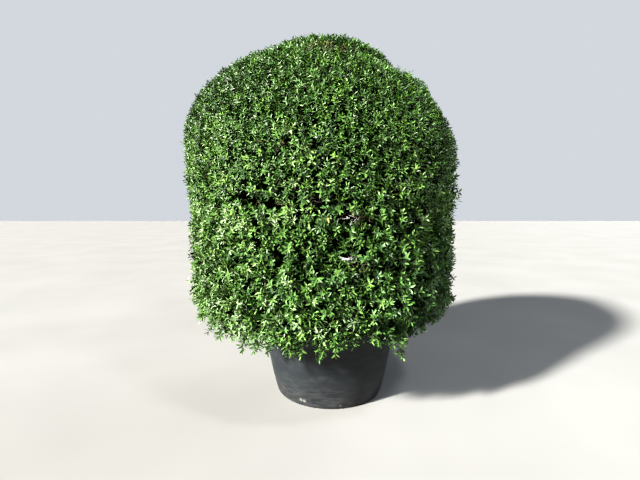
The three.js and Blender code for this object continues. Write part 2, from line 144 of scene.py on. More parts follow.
# Hem: its height wavers round the head. On the front: azimuth, rise and spread of each lift.
HEM_HEIGHT = 0.012
HEM_WAVER = 0.055
HEM_WAVER_SCALE = 6.5
HEM_LIFTS = [
    (-1.650, 0.095, 0.045),
    (-1.240, 0.050, 0.060),
    (-0.800, 0.040, 0.130),
    (-0.450, 0.050, 0.350),
    (-2.130, -0.018, 0.250),
    (-2.640, 0.092, 0.230),
    (-0.150, 0.008, 0.300),
]
HEM_LIFT_FROM = 0.620
HEM_LIFT_TO = 0.820

# Hollow underside, and the rounded corner that joins it to the side.
HOLLOW_INSET = 0.118
HOLLOW_HEM = 0.645
HOLLOW_RISE = 0.455
UNDER_DROP = 0.085
UNDER_START = 0.360
UNDER_END = 0.800
HEM_SIDE = 0.665

# How closely growth stands on the skin: thinner on the shaded underside, closer on the dome.
SHADED_REACH = 0.66
SHADED_DENSITY = 0.45
DOME_DENSITY = 1.40
DENSER_FROM = 1.35
DENSER_TO = 2.00

# Trunk and boughs, as in the frame.
TRUNK_RADIUS = 0.062
FLARE_RADIUS = 0.100
FLARE_BUTTRESSES = 5
FORK_RADIUS = 0.038
FORK = np.array([-0.034, 0.010, 0.765])
RING_BOUGHS = 5
BOUGH_ROOT_SHARES = [0.74, 0.60]
BOUGH_ROOT_RADIUS = 0.029
BOUGH_TIP_RADIUS = 0.017
BOUGH_COLLAR = 0.007
BOUGH_REACH = 0.375
BOUGH_SPREAD = 0.120
BOUGH_RISE = 0.130
LEADER_TIP_RADIUS = 0.022
STEM_SHOWING = 0.030
BARK_WRINKLE = 0.0013
BARK_WART = 0.0016
BARK_BEND = 0.06

# Wood inside the head, by levels that end at golden-angle places: their number and depth.
SEED = 20
GOLDEN_ANGLE = math.pi * (3 - math.sqrt(5))
STEM_TOP_RADIUS = 0.42
STEM_TOP_HEIGHT = 1.80
LEADER_TOP = np.array([HEAD_SHIFT + SHOULDER_SHIFT, 0.03, 2.24])
STEM_STEPS = 14
LIMBS, LIMB_DEPTH = 84, 0.33
BRANCHES, BRANCH_DEPTH = 470, 0.165
TWIGS, TWIG_DEPTH = 2600, 0.082
TWIG_CREASE = 0.7

# How each level grows: how loose its places are, how much deeper it seeks the wood that bears it, how
# much its ends lift, and the steps of a path.
LIMB_JITTER, LIMB_LEAD, LIMB_LIFT, LIMB_STEPS = 0.4, 0.16, 0.5, 7
BRANCH_JITTER, BRANCH_LEAD, BRANCH_LIFT, BRANCH_STEPS = 0.5, 0.09, 0.4, 5
TWIG_JITTER, TWIG_LEAD, TWIG_LIFT, TWIG_STEPS = 0.6, 0.05, 0.35, 3

# Round wood: radius at its root and at its tip, and sides. The stems' roots follow their boughs.
STEM_WOOD = (np.array([LEADER_TIP_RADIUS] + [BOUGH_TIP_RADIUS] * RING_BOUGHS), 0.008, 12)
LIMB_WOOD = (0.0085, 0.0045, 7)
BRANCH_WOOD = (0.0046, 0.0024, 5)
TWIG_WOOD = (0.0023, 0.0013, 3)
SKIRT_WOOD = (0.0030, 0.0013, 4)
LEAVE_SHARE = 0.30
ARRIVE_SHARE = 0.35
SWAY = 0.018

# Depth of the shoots' ends, in clumps round each branch and twig. Of each pair, the first holds on
# the closely clipped dome and the second in the looser lower half.
SHOOTS = 14200
SHOOT_JITTER = 0.9
FACE_INSET = (0.022, 0.032)
CLUMP_DROOP = (0.007, 0.018)
CLUMP_STEP = (0.006, 0.018)
SHOOT_STEP = (0.018, 0.046)
CREASE_DEPTH = (0.010, 0.034)
CREASE_WIDTH = 0.030
PROUD_SHARE = (0.07, 0.24)
PROUD_REACH = (0.018, 0.040)
PROUD_LIMIT = 0.006
SHOOT_LIFT = (0.62, 0.40)
SHOOT_SPLAY = 0.26
SHOOT_SIZE = (0.84, 1.12)
CLEAR_OF_POT = 0.03
CLEAR_RADIUS = 0.57

# A shoot's tint level is its vigour, from shares of its branch, its twig and its own luck, plus what its
# place adds: painted shade in the creases, fresh growth and painted sun on the ledge, painted sun on the
# left, the low hem and the coarse right side, and painted shade on the upper left, the right of the hem,
# the shoulder and the top. The light on the ledge is given by its middle x, width, height and rise.
VIGOUR_OF_BRANCH = 0.22
VIGOUR_OF_TWIG = 0.24
VIGOUR_OF_SHOOT = 0.54
# Painted shade: the tint is darker in the creases between clumps.
PAINTED_SHADE_IN_CREASE = 0.16
LEDGE_GROWTH_AND_SUN = 0.30
LEDGE_LIGHT = (-0.40, 0.20, 1.305, 0.05)
# Painted sun and shade by place, not growth: lighter on the left, the low hem and the coarse right side,
# darker on the upper left, the right of the hem, the shoulder and the top.
PAINTED_SUN_LEFT = 0.20
PAINTED_SHADE_LEFT_TOP = 1.1
PAINTED_SUN_HEM = 0.20
LESS_PAINTED_SUN_HEM_LEFT = 0.06
PAINTED_SHADE_HEM_RIGHT = 0.68
PAINTED_SUN_COARSE = 0.08
PAINTED_SHADE_SHOULDER = 0.13
PAINTED_SHADE_TOP = 0.08

# Zones of the face: how far to the side, and heights. The coarse growth on the right is thinner.
SIDE_ZONE = (0.10, 0.80)
COARSE_SIDE = (0.25, 0.60)
COARSE_TOP = (1.70, 2.10)
COARSE_HEM = (0.70, 0.85)
COARSE_THINNED = 0.30
COARSE_LARGER = 0.16
LOW_ZONE = (0.75, 1.15)
LOW_LARGER = 0.10
LEFT_SMALLER = 0.10

# Leaves: small pointed ovals, folded along the midrib and spiralled up a shoot.
LEAF_LENGTH = 0.0335
LEAF_WIDTH = 0.0103
LEAF_FOLD = 0.28
LEAF_CURL = 0.14
LEAF_OUTLINE = [(0.0, 0.0), (0.34, 1.0), (0.74, 0.80), (1.0, 0.0)]
LEAVES_PER_SHOOT = 9
INNER_LEAVES_PER_SHOOT = 6
SHOOT_LEAFY_LENGTH = 0.041
SHAPES_OF_SHOOT = 6
SHAPES_OF_INNER_SHOOT = 4
OLD_LEAF_SHADE = 0.72
YOUNG_LEAF_SHADE = 1.25
LEAF_SHADE_VARIES = 0.70
SHOOTS_PER_PIECE = 5000
STEM_THICKNESS = 0.0013

# Leaves from a shoot's foot to its tip: angle off its axis, and shares of their length and width.
LEAF_ANGLE = (1.42, 0.62)
LEAF_LENGTH_SHARE = (1.05, 0.74)
LEAF_WIDTH_SHARE = (1.05, 0.82)

# Tints of the face's leaves: name, tint level (vigour with painted light and shade) up to which they
# hold, colour and roughness.
LEAF_GLOSS = 0.52
LEAF_TINTS = [
    ("deep", 0.30, (0.025, 0.072, 0.010), 0.50),
    ("mid", 0.52, (0.045, 0.114, 0.016), 0.49),
    ("fresh", 0.72, (0.067, 0.149, 0.023), 0.49),
    ("lime", 0.86, (0.098, 0.188, 0.034), 0.49),
    ("pale", 9.00, (0.135, 0.210, 0.080), 0.49),
    ("bronze", 99.0, (0.072, 0.058, 0.024), 0.60),
]
BRONZE_VIGOUR = 10.0
# Light, not leaf colour: the dome's tint cuts the leaves' blue to offset the sheen of reflected sky there.
DOME_SHEEN_OFFSET_TINT = (1.0, 1.02, 0.62)
PLAIN_TINT = (1.0, 1.0, 1.0)
HEM_TINT = (1.0, 1.0, 1.22)
# The older inner leaves are darker than leaf green, partly as painted shade.
INNER_LEAF_PAINTED_SHADE = (0.007, 0.027, 0.002)
INNER_LEAF_SCALE = 1.40
# Near-black leaf colour: painted shade for the large leaves deep inside the head.
PAINTED_SHADE_LEAF = (0.004, 0.011, 0.002)
SHADED_LEAF_SCALE = 2.3
SHADED_DEPTHS = np.array([0.02, 0.04, 0.06, 0.08, 0.11, 0.14, 0.17, 0.20, 0.23, 0.26, 0.30, 0.34, 0.38])
SHADED_SCATTER = 0.17
SHADED_INSET = 0.10
SHADED_ABOVE_HEM = 0.06
FALLEN_LEAF = (0.12, 0.055, 0.020)

# Barks: dark, light and wart colours, and how fine the streaks are.
GREY_BARK = ((0.105, 0.090, 0.070), (0.250, 0.225, 0.185), (0.36, 0.32, 0.25), 30.0)
YOUNG_BARK = ((0.038, 0.034, 0.020), (0.090, 0.080, 0.048), (0.14, 0.125, 0.085), 60.0)
GREEN_BARK = ((0.060, 0.075, 0.025), (0.120, 0.130, 0.050), (0.16, 0.15, 0.08), 60.0)
DEAD_BARK = ((0.030, 0.020, 0.016), (0.090, 0.064, 0.052), (0.15, 0.12, 0.10), 60.0)
PALE_BARK = ((0.26, 0.25, 0.27), (0.46, 0.45, 0.47), (0.60, 0.60, 0.60), 60.0)

# Skirt: short sprays under the hem, and a few long ones that trail over the pot.
SKIRT_SPRAYS = 12
SKIRT_RADIUS = 0.775
SKIRT_DROP = 0.135
SKIRT_ROOT_DEPTH = 0.045
TRAILING_SPRAYS = 5
TRAILING_RADIUS = 0.640
TRAILING_DROP = 0.180
TRAILING_START = -1.585
FRINGE_SPRAYS = 70
FRINGE_RADIUS = 0.80
SPRAY_STEPS = 6
SPRAY_BARE = 0.32
SPRAY_SHOOT_SPACING = 0.016

# On the front the skirt's long sprays are few: azimuth, radius and drop of each.
FRONT_HALF_WIDTH = 1.35
FRONT_SPRAYS = [
    (-0.980, 0.800, 0.115),
    (-1.590, 0.760, 0.090),
    (-1.480, 0.790, 0.050),
    (-1.760, 0.800, 0.060),
]

# Gaps in the clipped face, on the side that looks along -Y: middle x and z, width and height.
FACE_GAPS = [
    (-0.368, 1.405, 0.200, 0.036), (-0.450, 1.425, 0.090, 0.024), (-0.552, 1.443, 0.150, 0.038),
    (-0.184, 1.343, 0.056, 0.032), (-0.087, 1.394, 0.056, 0.080), (-0.159, 1.287, 0.034, 0.034),
    (-0.159, 1.200, 0.034, 0.034), (-0.301, 1.130, 0.072, 0.060), (-0.185, 1.148, 0.042, 0.058),
    (-0.426, 1.237, 0.028, 0.120), (-0.572, 1.078, 0.076, 0.030), (-0.201, 1.091, 0.046, 0.032),
    (-0.412, 0.971, 0.060, 0.058), (0.029, 1.429, 0.062, 0.032), (0.097, 1.328, 0.088, 0.056),
    (0.066, 1.241, 0.046, 0.032), (0.025, 1.190, 0.034, 0.062), (0.167, 1.151, 0.048, 0.048),
    (0.072, 1.106, 0.080, 0.030), (0.152, 1.063, 0.090, 0.056), (0.341, 1.053, 0.152, 0.036),
    (0.241, 1.296, 0.062, 0.040), (0.254, 1.132, 0.042, 0.042), (-0.237, 2.012, 0.022, 0.036),
    (0.263, 2.117, 0.040, 0.040), (0.242, 2.020, 0.050, 0.020), (0.024, 1.873, 0.046, 0.028),
    (-0.097, 1.708, 0.034, 0.036), (-0.254, 1.701, 0.026, 0.038), (-0.387, 1.646, 0.034, 0.022),
    (-0.204, 1.540, 0.032, 0.028), (-0.394, 1.503, 0.034, 0.046), (-0.062, 1.634, 0.030, 0.032),
    (0.018, 1.674, 0.056, 0.024), (-0.459, 0.803, 0.072, 0.084), (0.227, 0.826, 0.098, 0.038),
    (0.384, 0.831, 0.045, 0.045),
]
GAP_DEPTH = 0.035
GAP_RAGGED = 0.45
GAP_RAGGED_SCALE = 34
RANDOM_GAP_SCALE = 8.5
RANDOM_GAP_LEVEL = 0.50

# Dead growth in the gaps, by x and z. Twigs: width and height of the patch, how many, and their rise.
ORANGE_LEAVES = [(-0.036, 1.328)]
ORANGE_LEAF = (0.52, 0.270, 0.080)
BROWN_LEAVES = [(-0.254, 1.701), (-0.397, 1.729), (-0.205, 1.370)]
BROWN_LEAF = (0.040, 0.024, 0.012)
DEAD_LEAF_DEPTH = 0.026
BARE_TWIG_DEPTH = 0.030
BARE_TWIG_PATCHES = [
    (0.097, 1.328, 0.090, 0.050, 30, 0.70),
    (-0.254, 1.701, 0.030, 0.040, 10, 0.70),
    (0.152, 1.063, 0.090, 0.050, 20, 0.70),
    (-0.280, 1.385, 0.060, 0.030, 10, 0.70),
    (-0.087, 1.394, 0.050, 0.100, 10, 0.70),
]
PALE_TWIG_DEPTH = 0.018
PALE_TWIG_PATCHES = [
    (0.072, 1.108, 0.060, 0.014, 32, 0.22),
    (0.108, 1.322, 0.076, 0.012, 7, 0.45),
]
BARE_TWIG_LENGTH = 0.042

# Bronze young tips near the top of the dome.
BRONZE_PATCH = np.array([-0.021, -0.620, 2.330])
BRONZE_SPREAD = 0.085
BRONZE_SHARE = 0.45

# View: the camera stands at eye height, close in front of the plant, tipped a little down.
CAMERA_PLACE = (-0.072, -2.957, 1.371)
CAMERA_TIP_DOWN = 4.62
FOCAL_PIXELS = 390.0
PICTURE_WIDTH = 640.0
SENSOR_WIDTH = 36.0

# Lights: name, kind, breadth, strength, colour, place and aim. The key comes from the left front, and
# the fill and the back light let the other sides be read. The sky lights less than it shows.
LIGHTS = [
    ("key", "SUN", 0.08, 20.4, (1.0, 0.97, 0.90), (-8.1, -5.9, 6.6), (0, 0, 1.3)),
    ("fill", "AREA", 0.8, 250, (0.94, 0.97, 1.0), (2.6, -3.6, 6.3), (0, 0, 1.4)),
    ("back", "SUN", 0.9, 2.6, (0.86, 0.93, 1.0), (5.2, 4.4, 3.2), (0, 0, 1.2)),
]
SKY_COLOUR = (0.90, 0.95, 1.0)
SKY_LIGHT = 0.14
SKY_SEEN = 0.62
FLOOR_REACH = 40
FLOOR_DARK = (0.185, 0.185, 0.182)
FLOOR_LIGHT = (0.205, 0.205, 0.202)

UP = np.array([0.0, 0.0, 1.0])
random = np.random.default_rng(SEED)


def unit(vectors):
    return vectors / np.linalg.norm(vectors, axis=-1, keepdims=True)


def smoothstep(value, low, high):
    share = np.clip((value - low) / (high - low), 0, 1)
    return share * share * (3 - 2 * share)


def below(value, low, high):
    """1 below a range and 0 above it."""
    return smoothstep(-value, -high, -low)


def blend(low, high, share):
    return low + (high - low) * share


def bell(distance, spread):
    """1 at no distance, falling away smoothly over the spread."""
    return np.exp(-((distance / spread) ** 2))


def turned(azimuth, middle=0.0):
    """The angle from a middle azimuth, within half a turn either way."""
    return np.angle(np.exp(1j * (azimuth - middle)))


def level_way(azimuth):
    """The level direction at an azimuth."""
    return np.array([math.cos(azimuth), math.sin(azimuth), 0])


# Shape of the head

def outline_radius(z):
    """The head's outline radius, before billows, at a height."""
    rise = np.clip((z - HEAD_SPRING) / (HEAD_TOP - HEAD_SPRING), 0, 1)
    dome = HEAD_RADIUS * (1 - rise ** DOME_FULLNESS) ** DOME_SHOULDER
    tuck = np.maximum(0, (HEAD_BELLY - z) / (HEAD_BELLY - HEAD_HEM))
    return np.where(z > HEAD_SPRING, dome, HEAD_RADIUS - HEM_TUCK * tuck ** 2)


def head_shift(z):
    """How far the head's middle lies off the pot's axis at a height."""
    shoulder = SHOULDER_SHIFT * bell(z - SHOULDER_HEIGHT, SHOULDER_SPREAD)
    return HEAD_SHIFT + shoulder + TIP_SHIFT * smoothstep(z, TIP_SHIFT_START, HEAD_TOP)


def looseness(z):
    """0 on the finely clipped dome, 1 in the looser lower half."""
    return smoothstep(HEAD_SPRING - z, -0.30, 0.50)


def swelling(z, azimuth, middle, height, spread, rise):
    """A soft swelling: 1 at its middle, falling away round the head and up and down."""
    aside = turned(azimuth, middle) / spread
    return np.exp(-(aside ** 2) - ((z - height) / rise) ** 2)


def billow(z, azimuth):
    """Soft billows of the clipped face, the ledge and the dents, as a radius to add."""
    size = blend(BILLOW_HIGH, BILLOW_LOW, looseness(z))
    broad = np.sin(3 * azimuth + z / 0.190)
    fine = np.sin(7 * azimuth - z / 0.120) * np.cos(z / 0.095)
    shape = size * (0.55 * broad + 0.45 * fine)
    shape += swelling(z, azimuth, LEDGE_AZIMUTH, LEDGE_HEIGHT, LEDGE_SPREAD, LEDGE_DEPTH) * LEDGE_SWELL
    for middle, height, depth, spread, rise in HEAD_DENTS:
        shape -= swelling(z, azimuth, middle, height, spread, rise) * depth
    return shape


def hem_lift(z, azimuth):
    """How far the hem is lifted at each azimuth, fading out up the side."""
    around = [noise.noise(Vector((math.cos(a), math.sin(a), 0.4)) * HEM_WAVER_SCALE) for a in azimuth]
    lift = HEM_HEIGHT + HEM_WAVER * np.array(around)
    for middle, rise, spread in HEM_LIFTS:
        lift += rise * bell(turned(azimuth, middle), spread)
    return lift * (1 - smoothstep(z, HEM_LIFT_FROM, HEM_LIFT_TO))


def hollow_height(radius):
    """The height of the hollow underside at a radius from the head's middle."""
    hem = outline_radius(HOLLOW_HEM) - HOLLOW_INSET
    return HOLLOW_HEM + HOLLOW_RISE * np.maximum(0, 1 - (radius / hem) ** 2) ** 2


def skin_profile():
    """Radius and height along the head's skin, from the underside round the hem to the top."""
    under = np.linspace(UNDER_START, UNDER_END, 30)
    under_z = hollow_height(under) - UNDER_DROP
    turn = np.linspace(-math.pi / 2, 0, 14)[1:]
    corner_r = UNDER_END + (outline_radius(HEM_SIDE) - UNDER_END) * np.cos(turn)
    corner_z = HEM_SIDE + (HEM_SIDE - under_z[-1]) * np.sin(turn)
    side_z = np.linspace(HEM_SIDE, HEAD_SPRING, 40)[1:]
    dome_z = blend(HEAD_SPRING, HEAD_TOP, np.sin(np.linspace(0, math.pi / 2, 160))[1:])
    z = np.concatenate([under_z, corner_z, side_z, dome_z])
    return np.concatenate([under, corner_r, outline_radius(side_z), outline_radius(dome_z)]), z


class Skin:
    """Places on the head's skin, shared out by area: denser on the dome, few on the underside."""

    def __init__(self):
        radius, z = skin_profile()
        run = np.hypot(np.diff(radius), np.diff(z))
        middle = (radius[1:] + radius[:-1]) / 2
        shaded = np.where((z[1:] < HEM_SIDE) & (middle < SHADED_REACH), SHADED_DENSITY, 1.0)
        fine = blend(1.0, DOME_DENSITY, smoothstep(z[1:], DENSER_FROM, DENSER_TO))
        area = np.concatenate([[0], np.cumsum(middle * run * shaded * fine)])
        self.area = 2 * math.pi * area[-1]
        self.share = area / area[-1]
        slope_r, slope_z = np.gradient(radius), np.gradient(z)
        length = np.hypot(slope_r, slope_z)
        self.profile = (radius, z, slope_z / length, -slope_r / length)

    def places(self, count, jitter):
        """Golden-angle places, each moved at random by a part of their spacing."""
        loose = random.random((count, 2)) - 0.5
        step = np.arange(count)
        share = (step + 0.5 + jitter * loose[:, 0] * math.sqrt(count) * 0.3) / count
        share = np.clip(share, 0, 1)
        radius, z, out, up = [np.interp(share, self.share, values) for values in self.profile]
        spacing = math.sqrt(self.area / count)
        azimuth = step * GOLDEN_ANGLE + jitter * loose[:, 1] * spacing / np.maximum(radius, 0.15)
        cos, sin = np.cos(azimuth), np.sin(azimuth)
        point = np.stack([head_shift(z) + radius * cos, radius * sin, z], axis=1)
        outward = unit(np.stack([out * cos, out * sin, up], axis=1))
        return {"point": point, "outward": outward, "azimuth": turned(azimuth), "z": z}


skin = Skin()


def gap_depth(point):
    """1 inside a gap of the front face, falling to 0 at half a gap's width outside it."""
    nearest_gap = np.full(len(point), 9.0)
    ragged = np.array([noise.noise(Vector(p * GAP_RAGGED_SCALE)) for p in point])
    for x, z, width, height in FACE_GAPS:
        away = np.hypot((point[:, 0] - x) / (width / 2), (point[:, 2] - z) / (height / 2))
        nearest_gap = np.minimum(nearest_gap, away + GAP_RAGGED * ragged)
    return np.where(point[:, 1] < 0, 1 - smoothstep(nearest_gap, 0.85, 1.7), 0)


# Wood: each level grows from the nearest wood of the level before

def bezier(start, leave, arrive, end, steps):
    """A curve by its ends and the two points that steer it, or one curve for each row of points."""
    t = np.linspace(0, 1, steps + 1)[:, None]
    s = 1 - t
    start, leave, arrive, end = (np.asarray(p)[..., None, :] for p in (start, leave, arrive, end))
    return s ** 3 * start + 3 * s * s * t * leave + 3 * s * t * t * arrive + t ** 3 * end


def bearing(paths, first):
    """The points of a level's paths that may bear the next level, and the way they run there."""
    along = unit(np.gradient(paths, axis=1))
    return paths[:, first:].reshape(-1, 3), along[:, first:].reshape(-1, 3)


def search_tree(points):
    tree = KDTree(len(points))
    for index, point in enumerate(points):
        tree.insert(point, index)
    tree.balance()
    return tree


def nearest(places, candidates):
    tree = search_tree(candidates)
    return np.array([tree.find(place)[1] for place in places])


def second_gap(points, anchors):
    """How much further the second nearest anchor is than the nearest: small along a clump's edge."""
    tree = search_tree(anchors)
    found = [tree.find_n(point, 2) for point in points]
    return np.array([second[2] - first[2] for first, second in found])


def trunk_curve(steps):
    foot = np.array([0, 0, POT_HEIGHT - SOIL_BELOW_RIM + SOIL_MOUND])
    leave = foot + np.array([0, 0, 0.090])
    return bezier(foot, leave, FORK + np.array([0.014, -0.010, -0.090]), FORK, steps)


def bough_curve(number, steps):
    """A ring bough leaves the trunk sideways and turns up to the head's hollow underside."""
    azimuth = 2 * math.pi * (number - 0.6) / RING_BOUGHS + 0.22 * math.sin(2.4 * number)
    reach = BOUGH_REACH * (1 + 0.16 * math.cos(2.9 * number))
    across = level_way(azimuth)
    root = trunk_curve(100)[round(100 * BOUGH_ROOT_SHARES[number % 2])]
    tip = across * reach + np.array([HEAD_SHIFT, 0, float(hollow_height(reach)) - STEM_SHOWING])
    leave = root + across * BOUGH_SPREAD + UP * BOUGH_SPREAD * 0.4
    arrive = tip - across * BOUGH_RISE / 2 - UP * BOUGH_RISE
    return bezier(root, leave, arrive, tip, steps)


def leader_curve(steps):
    """The leader carries the trunk on from its fork."""
    trunk = trunk_curve(100)
    leave = FORK + unit(trunk[-1] - trunk[-2]) * BOUGH_RISE
    tip = np.array([HEAD_SHIFT, 0.024, float(hollow_height(0.0)) - STEM_SHOWING])
    return bezier(FORK, leave, tip - UP * BOUGH_RISE, tip, steps)


def grow_stems():
    """The boughs' own ways on inside the head, up to its shoulders and under its top."""
    paths = []
    for number in range(RING_BOUGHS + 1):
        bough = leader_curve(40) if number == 0 else bough_curve(number, 40)
        start = bough[-1]
        azimuth = math.atan2(start[1], start[0] - HEAD_SHIFT)
        height = STEM_TOP_HEIGHT + 0.16 * math.sin(2.1 * number)
        top = level_way(azimuth) * STEM_TOP_RADIUS + np.array([HEAD_SHIFT, 0, height])
        if number == 0:
            top = LEADER_TOP
        span = np.linalg.norm(top - start)
        leave = start + unit(start - bough[-2]) * span * LEAVE_SHARE
        paths.append(bezier(start, leave, top - UP * span * ARRIVE_SHARE, top, STEM_STEPS))
    return np.array(paths)


def grow(places, depth, wood, lead, lift, steps):
    """Paths from the nearest bearing wood to their ends, where they point outward and a little up."""
    outward = places["outward"]
    ends = places["point"] - outward * depth
    points, along = wood
    borne = nearest(ends - lead * outward, points)
    start = points[borne]
    span = np.linalg.norm(ends - start, axis=1, keepdims=True)
    leave = start + along[borne] * span * LEAVE_SHARE
    arrive = ends - unit(outward + lift * UP) * span * ARRIVE_SHARE
    paths = bezier(start, leave, arrive, ends, steps)
    sway = random.normal(size=paths.shape) * span[:, :, None] * SWAY
    sway[:, [0, -1]] = 0
    return paths + sway


def crease_at(places, branch_places):
    """1 along the creases between the branches' clumps, 0 away from them."""
    return bell(second_gap(places["point"], branch_places["point"]), CREASE_WIDTH)


def grow_crown():
    """All wood inside the head, and the places of its branches and twigs."""
    stems = grow_stems()
    limb_places = skin.places(LIMBS, LIMB_JITTER)
    limbs = grow(limb_places, LIMB_DEPTH, bearing(stems, 3), LIMB_LEAD, LIMB_LIFT, LIMB_STEPS)
    branch_places = skin.places(BRANCHES, BRANCH_JITTER)
    branches = grow(branch_places, BRANCH_DEPTH, bearing(limbs, 3), BRANCH_LEAD, BRANCH_LIFT, BRANCH_STEPS)
    twig_places = skin.places(TWIGS, TWIG_JITTER)
    crease = crease_at(twig_places, branch_places)
    depth = TWIG_DEPTH + crease * blend(*CREASE_DEPTH, looseness(twig_places["z"])) * TWIG_CREASE
    twigs = grow(twig_places, depth[:, None], bearing(branches, 2), TWIG_LEAD, TWIG_LIFT, TWIG_STEPS)
    return {
        "stems": stems, "limbs": limbs, "branches": branches, "twigs": twigs,
        "branch_places": branch_places, "twig_places": twig_places,
    }


def shoot_depth(places, crease, aside, clump, loose):
    """How far inside the outline each shoot ends: clumped and creased, with some standing proud."""
    depth = blend(*FACE_INSET, loose) - billow(places["z"], places["azimuth"])
    depth += crease * blend(*CREASE_DEPTH, loose)
    depth += np.minimum(aside, 1) ** 2 * blend(*CLUMP_DROOP, loose) * 2
    depth += (clump - 0.5) * blend(*CLUMP_STEP, loose) + random.random(SHOOTS) * blend(*SHOOT_STEP, loose)
    proud = random.random(SHOOTS) < blend(*PROUD_SHARE, loose)
    depth -= np.where(proud, blend(*PROUD_REACH, loose) * random.random(SHOOTS), 0)
    return np.maximum(depth, -PROUD_LIMIT)


def painted_light_of_place(point, z, left, right, low, coarse):
    """Tint a place adds: ledge growth and painted sun, painted sun low left, painted shade on the dome."""
    x, width, height, rise = LEDGE_LIGHT
    ledge = np.exp(-(((point[:, 0] - x) / width) ** 2) - ((z - height) / rise) ** 2) * (point[:, 1] < 0)
    # Painted sun and shade: lighter where the key light falls, on the left and low, darker on the right of
    # the hem, the shoulder and the top.
    painted_sun_and_shade = PAINTED_SUN_LEFT * left * (below(z, 1.05, 1.75) - PAINTED_SHADE_LEFT_TOP * smoothstep(z, 1.70, 2.20))
    painted_sun_and_shade += low * (PAINTED_SUN_HEM - LESS_PAINTED_SUN_HEM_LEFT * left - PAINTED_SHADE_HEM_RIGHT * right) + PAINTED_SUN_COARSE * coarse
    painted_sun_and_shade -= PAINTED_SHADE_SHOULDER * smoothstep(z, 1.70, 2.10) + PAINTED_SHADE_TOP * smoothstep(z, 2.15, 2.45)
    return LEDGE_GROWTH_AND_SUN * ledge, painted_sun_and_shade


def grow_shoots(crown):
    """The leafy shoots: tip, root, facing, size, and tint level: vigour, painted light and shade, bronze
    highest.
    """
    places = skin.places(SHOOTS, SHOOT_JITTER)
    point, z = places["point"], places["z"]
    loose = looseness(z)
    crease = crease_at(places, crown["branch_places"])
    twig_point = crown["twig_places"]["point"]
    point[:, 2] += hem_lift(z, places["azimuth"])
    borne = nearest(point, twig_point)
    aside = np.linalg.norm(point - twig_point[borne], axis=1) / math.sqrt(skin.area / TWIGS)
    clump = random.random(len(twig_point))[borne]
    gap = gap_depth(point)
    depth = shoot_depth(places, crease, aside, clump, loose) + GAP_DEPTH * gap
    tip = point - places["outward"] * depth[:, None]
    root = crown["twigs"][borne, -1]
    lift = blend(*SHOOT_LIFT, loose)[:, None]
    facing = unit(unit(tip - root) + lift * UP + SHOOT_SPLAY * random.normal(size=tip.shape))
    bare = np.array([noise.noise(Vector(p * RANDOM_GAP_SCALE)) for p in point]) > RANDOM_GAP_LEVEL
    open_face = (gap > 0.8) | (bare & (random.random(SHOOTS) < 0.75 * loose + 0.1))
    too_near_pot = (np.hypot(tip[:, 0], tip[:, 1]) < CLEAR_RADIUS) & (tip[:, 2] < POT_HEIGHT + CLEAR_OF_POT)
    strong = random.random(BRANCHES)[nearest(point, crown["branch_places"]["point"])]
    left = smoothstep(-point[:, 0], *SIDE_ZONE)
    right = smoothstep(point[:, 0], *SIDE_ZONE)
    coarse = smoothstep(point[:, 0], *COARSE_SIDE) * below(z, *COARSE_TOP) * smoothstep(z, *COARSE_HEM)
    thinned = np.random.default_rng(SEED + 9).random(SHOOTS) < COARSE_THINNED * coarse
    low = below(z, *LOW_ZONE)
    ledge, painted_sun_and_shade = painted_light_of_place(point, z, left, right, low, coarse)
    tint_level = VIGOUR_OF_BRANCH * strong + VIGOUR_OF_TWIG * clump + VIGOUR_OF_SHOOT * random.random(SHOOTS)
    # The tint level joins vigour with painted shade in the creases and painted sun and shade by place.
    tint_level = tint_level - PAINTED_SHADE_IN_CREASE * crease + ledge + painted_sun_and_shade
    bronze = BRONZE_SHARE * bell(np.linalg.norm(point - BRONZE_PATCH, axis=1), BRONZE_SPREAD)
    tint_level = np.where(np.random.default_rng(SEED + 10).random(SHOOTS) < bronze, BRONZE_VIGOUR, tint_level)
    size = blend(*SHOOT_SIZE, loose) * (0.88 + 0.24 * random.random(SHOOTS)) * (1 + COARSE_LARGER * coarse)
    size = size * (1 + LOW_LARGER * low * (1 - 1.4 * left)) * (1 - LEFT_SMALLER * left)
    kept = ~(open_face | too_near_pot | thinned)
    made = {"tip": tip, "root": root, "facing": facing, "tint_level": tint_level, "size": size}
    return {key: values[kept] for key, values in made.items()}


def hanging_spray(azimuth, radius, drop, lift):
    """A spray that hangs from the underside: its path, and its shoots' tips, roots and facings."""
    across = level_way(azimuth)
    aside = np.array([-math.sin(azimuth), math.cos(azimuth), 0]) * (random.random() - 0.5)
    root_height = float(hollow_height(radius)) + SKIRT_ROOT_DEPTH + lift
    root = across * radius + np.array([HEAD_SHIFT, 0, root_height])
    down = unit(across * (0.05 + 0.2 * random.random()) + 0.12 * aside - UP)
    tip = root + down * (drop + 0.055) + across * 0.012
    path = bezier(root, root + down * drop * 0.4, tip + UP * drop * 0.3 - across * 0.02, tip, SPRAY_STEPS)
    shoots = []
    for number, share in enumerate(np.linspace(SPRAY_BARE, 1, max(5, round(drop / SPRAY_SHOOT_SPACING)))):
        out = level_way(number * GOLDEN_ANGLE + azimuth)
        at = path[round(share * SPRAY_STEPS)] + (path[-1] - path[0]) * 0.02 * random.random()
        way = unit(out * (1.1 - 0.8 * share) + across * 0.35 - UP * (0.25 + 0.75 * share))
        shoots.append((at + way * (0.030 + 0.016 * random.random()), at, unit(way + 0.25 * UP)))
    return path, shoots


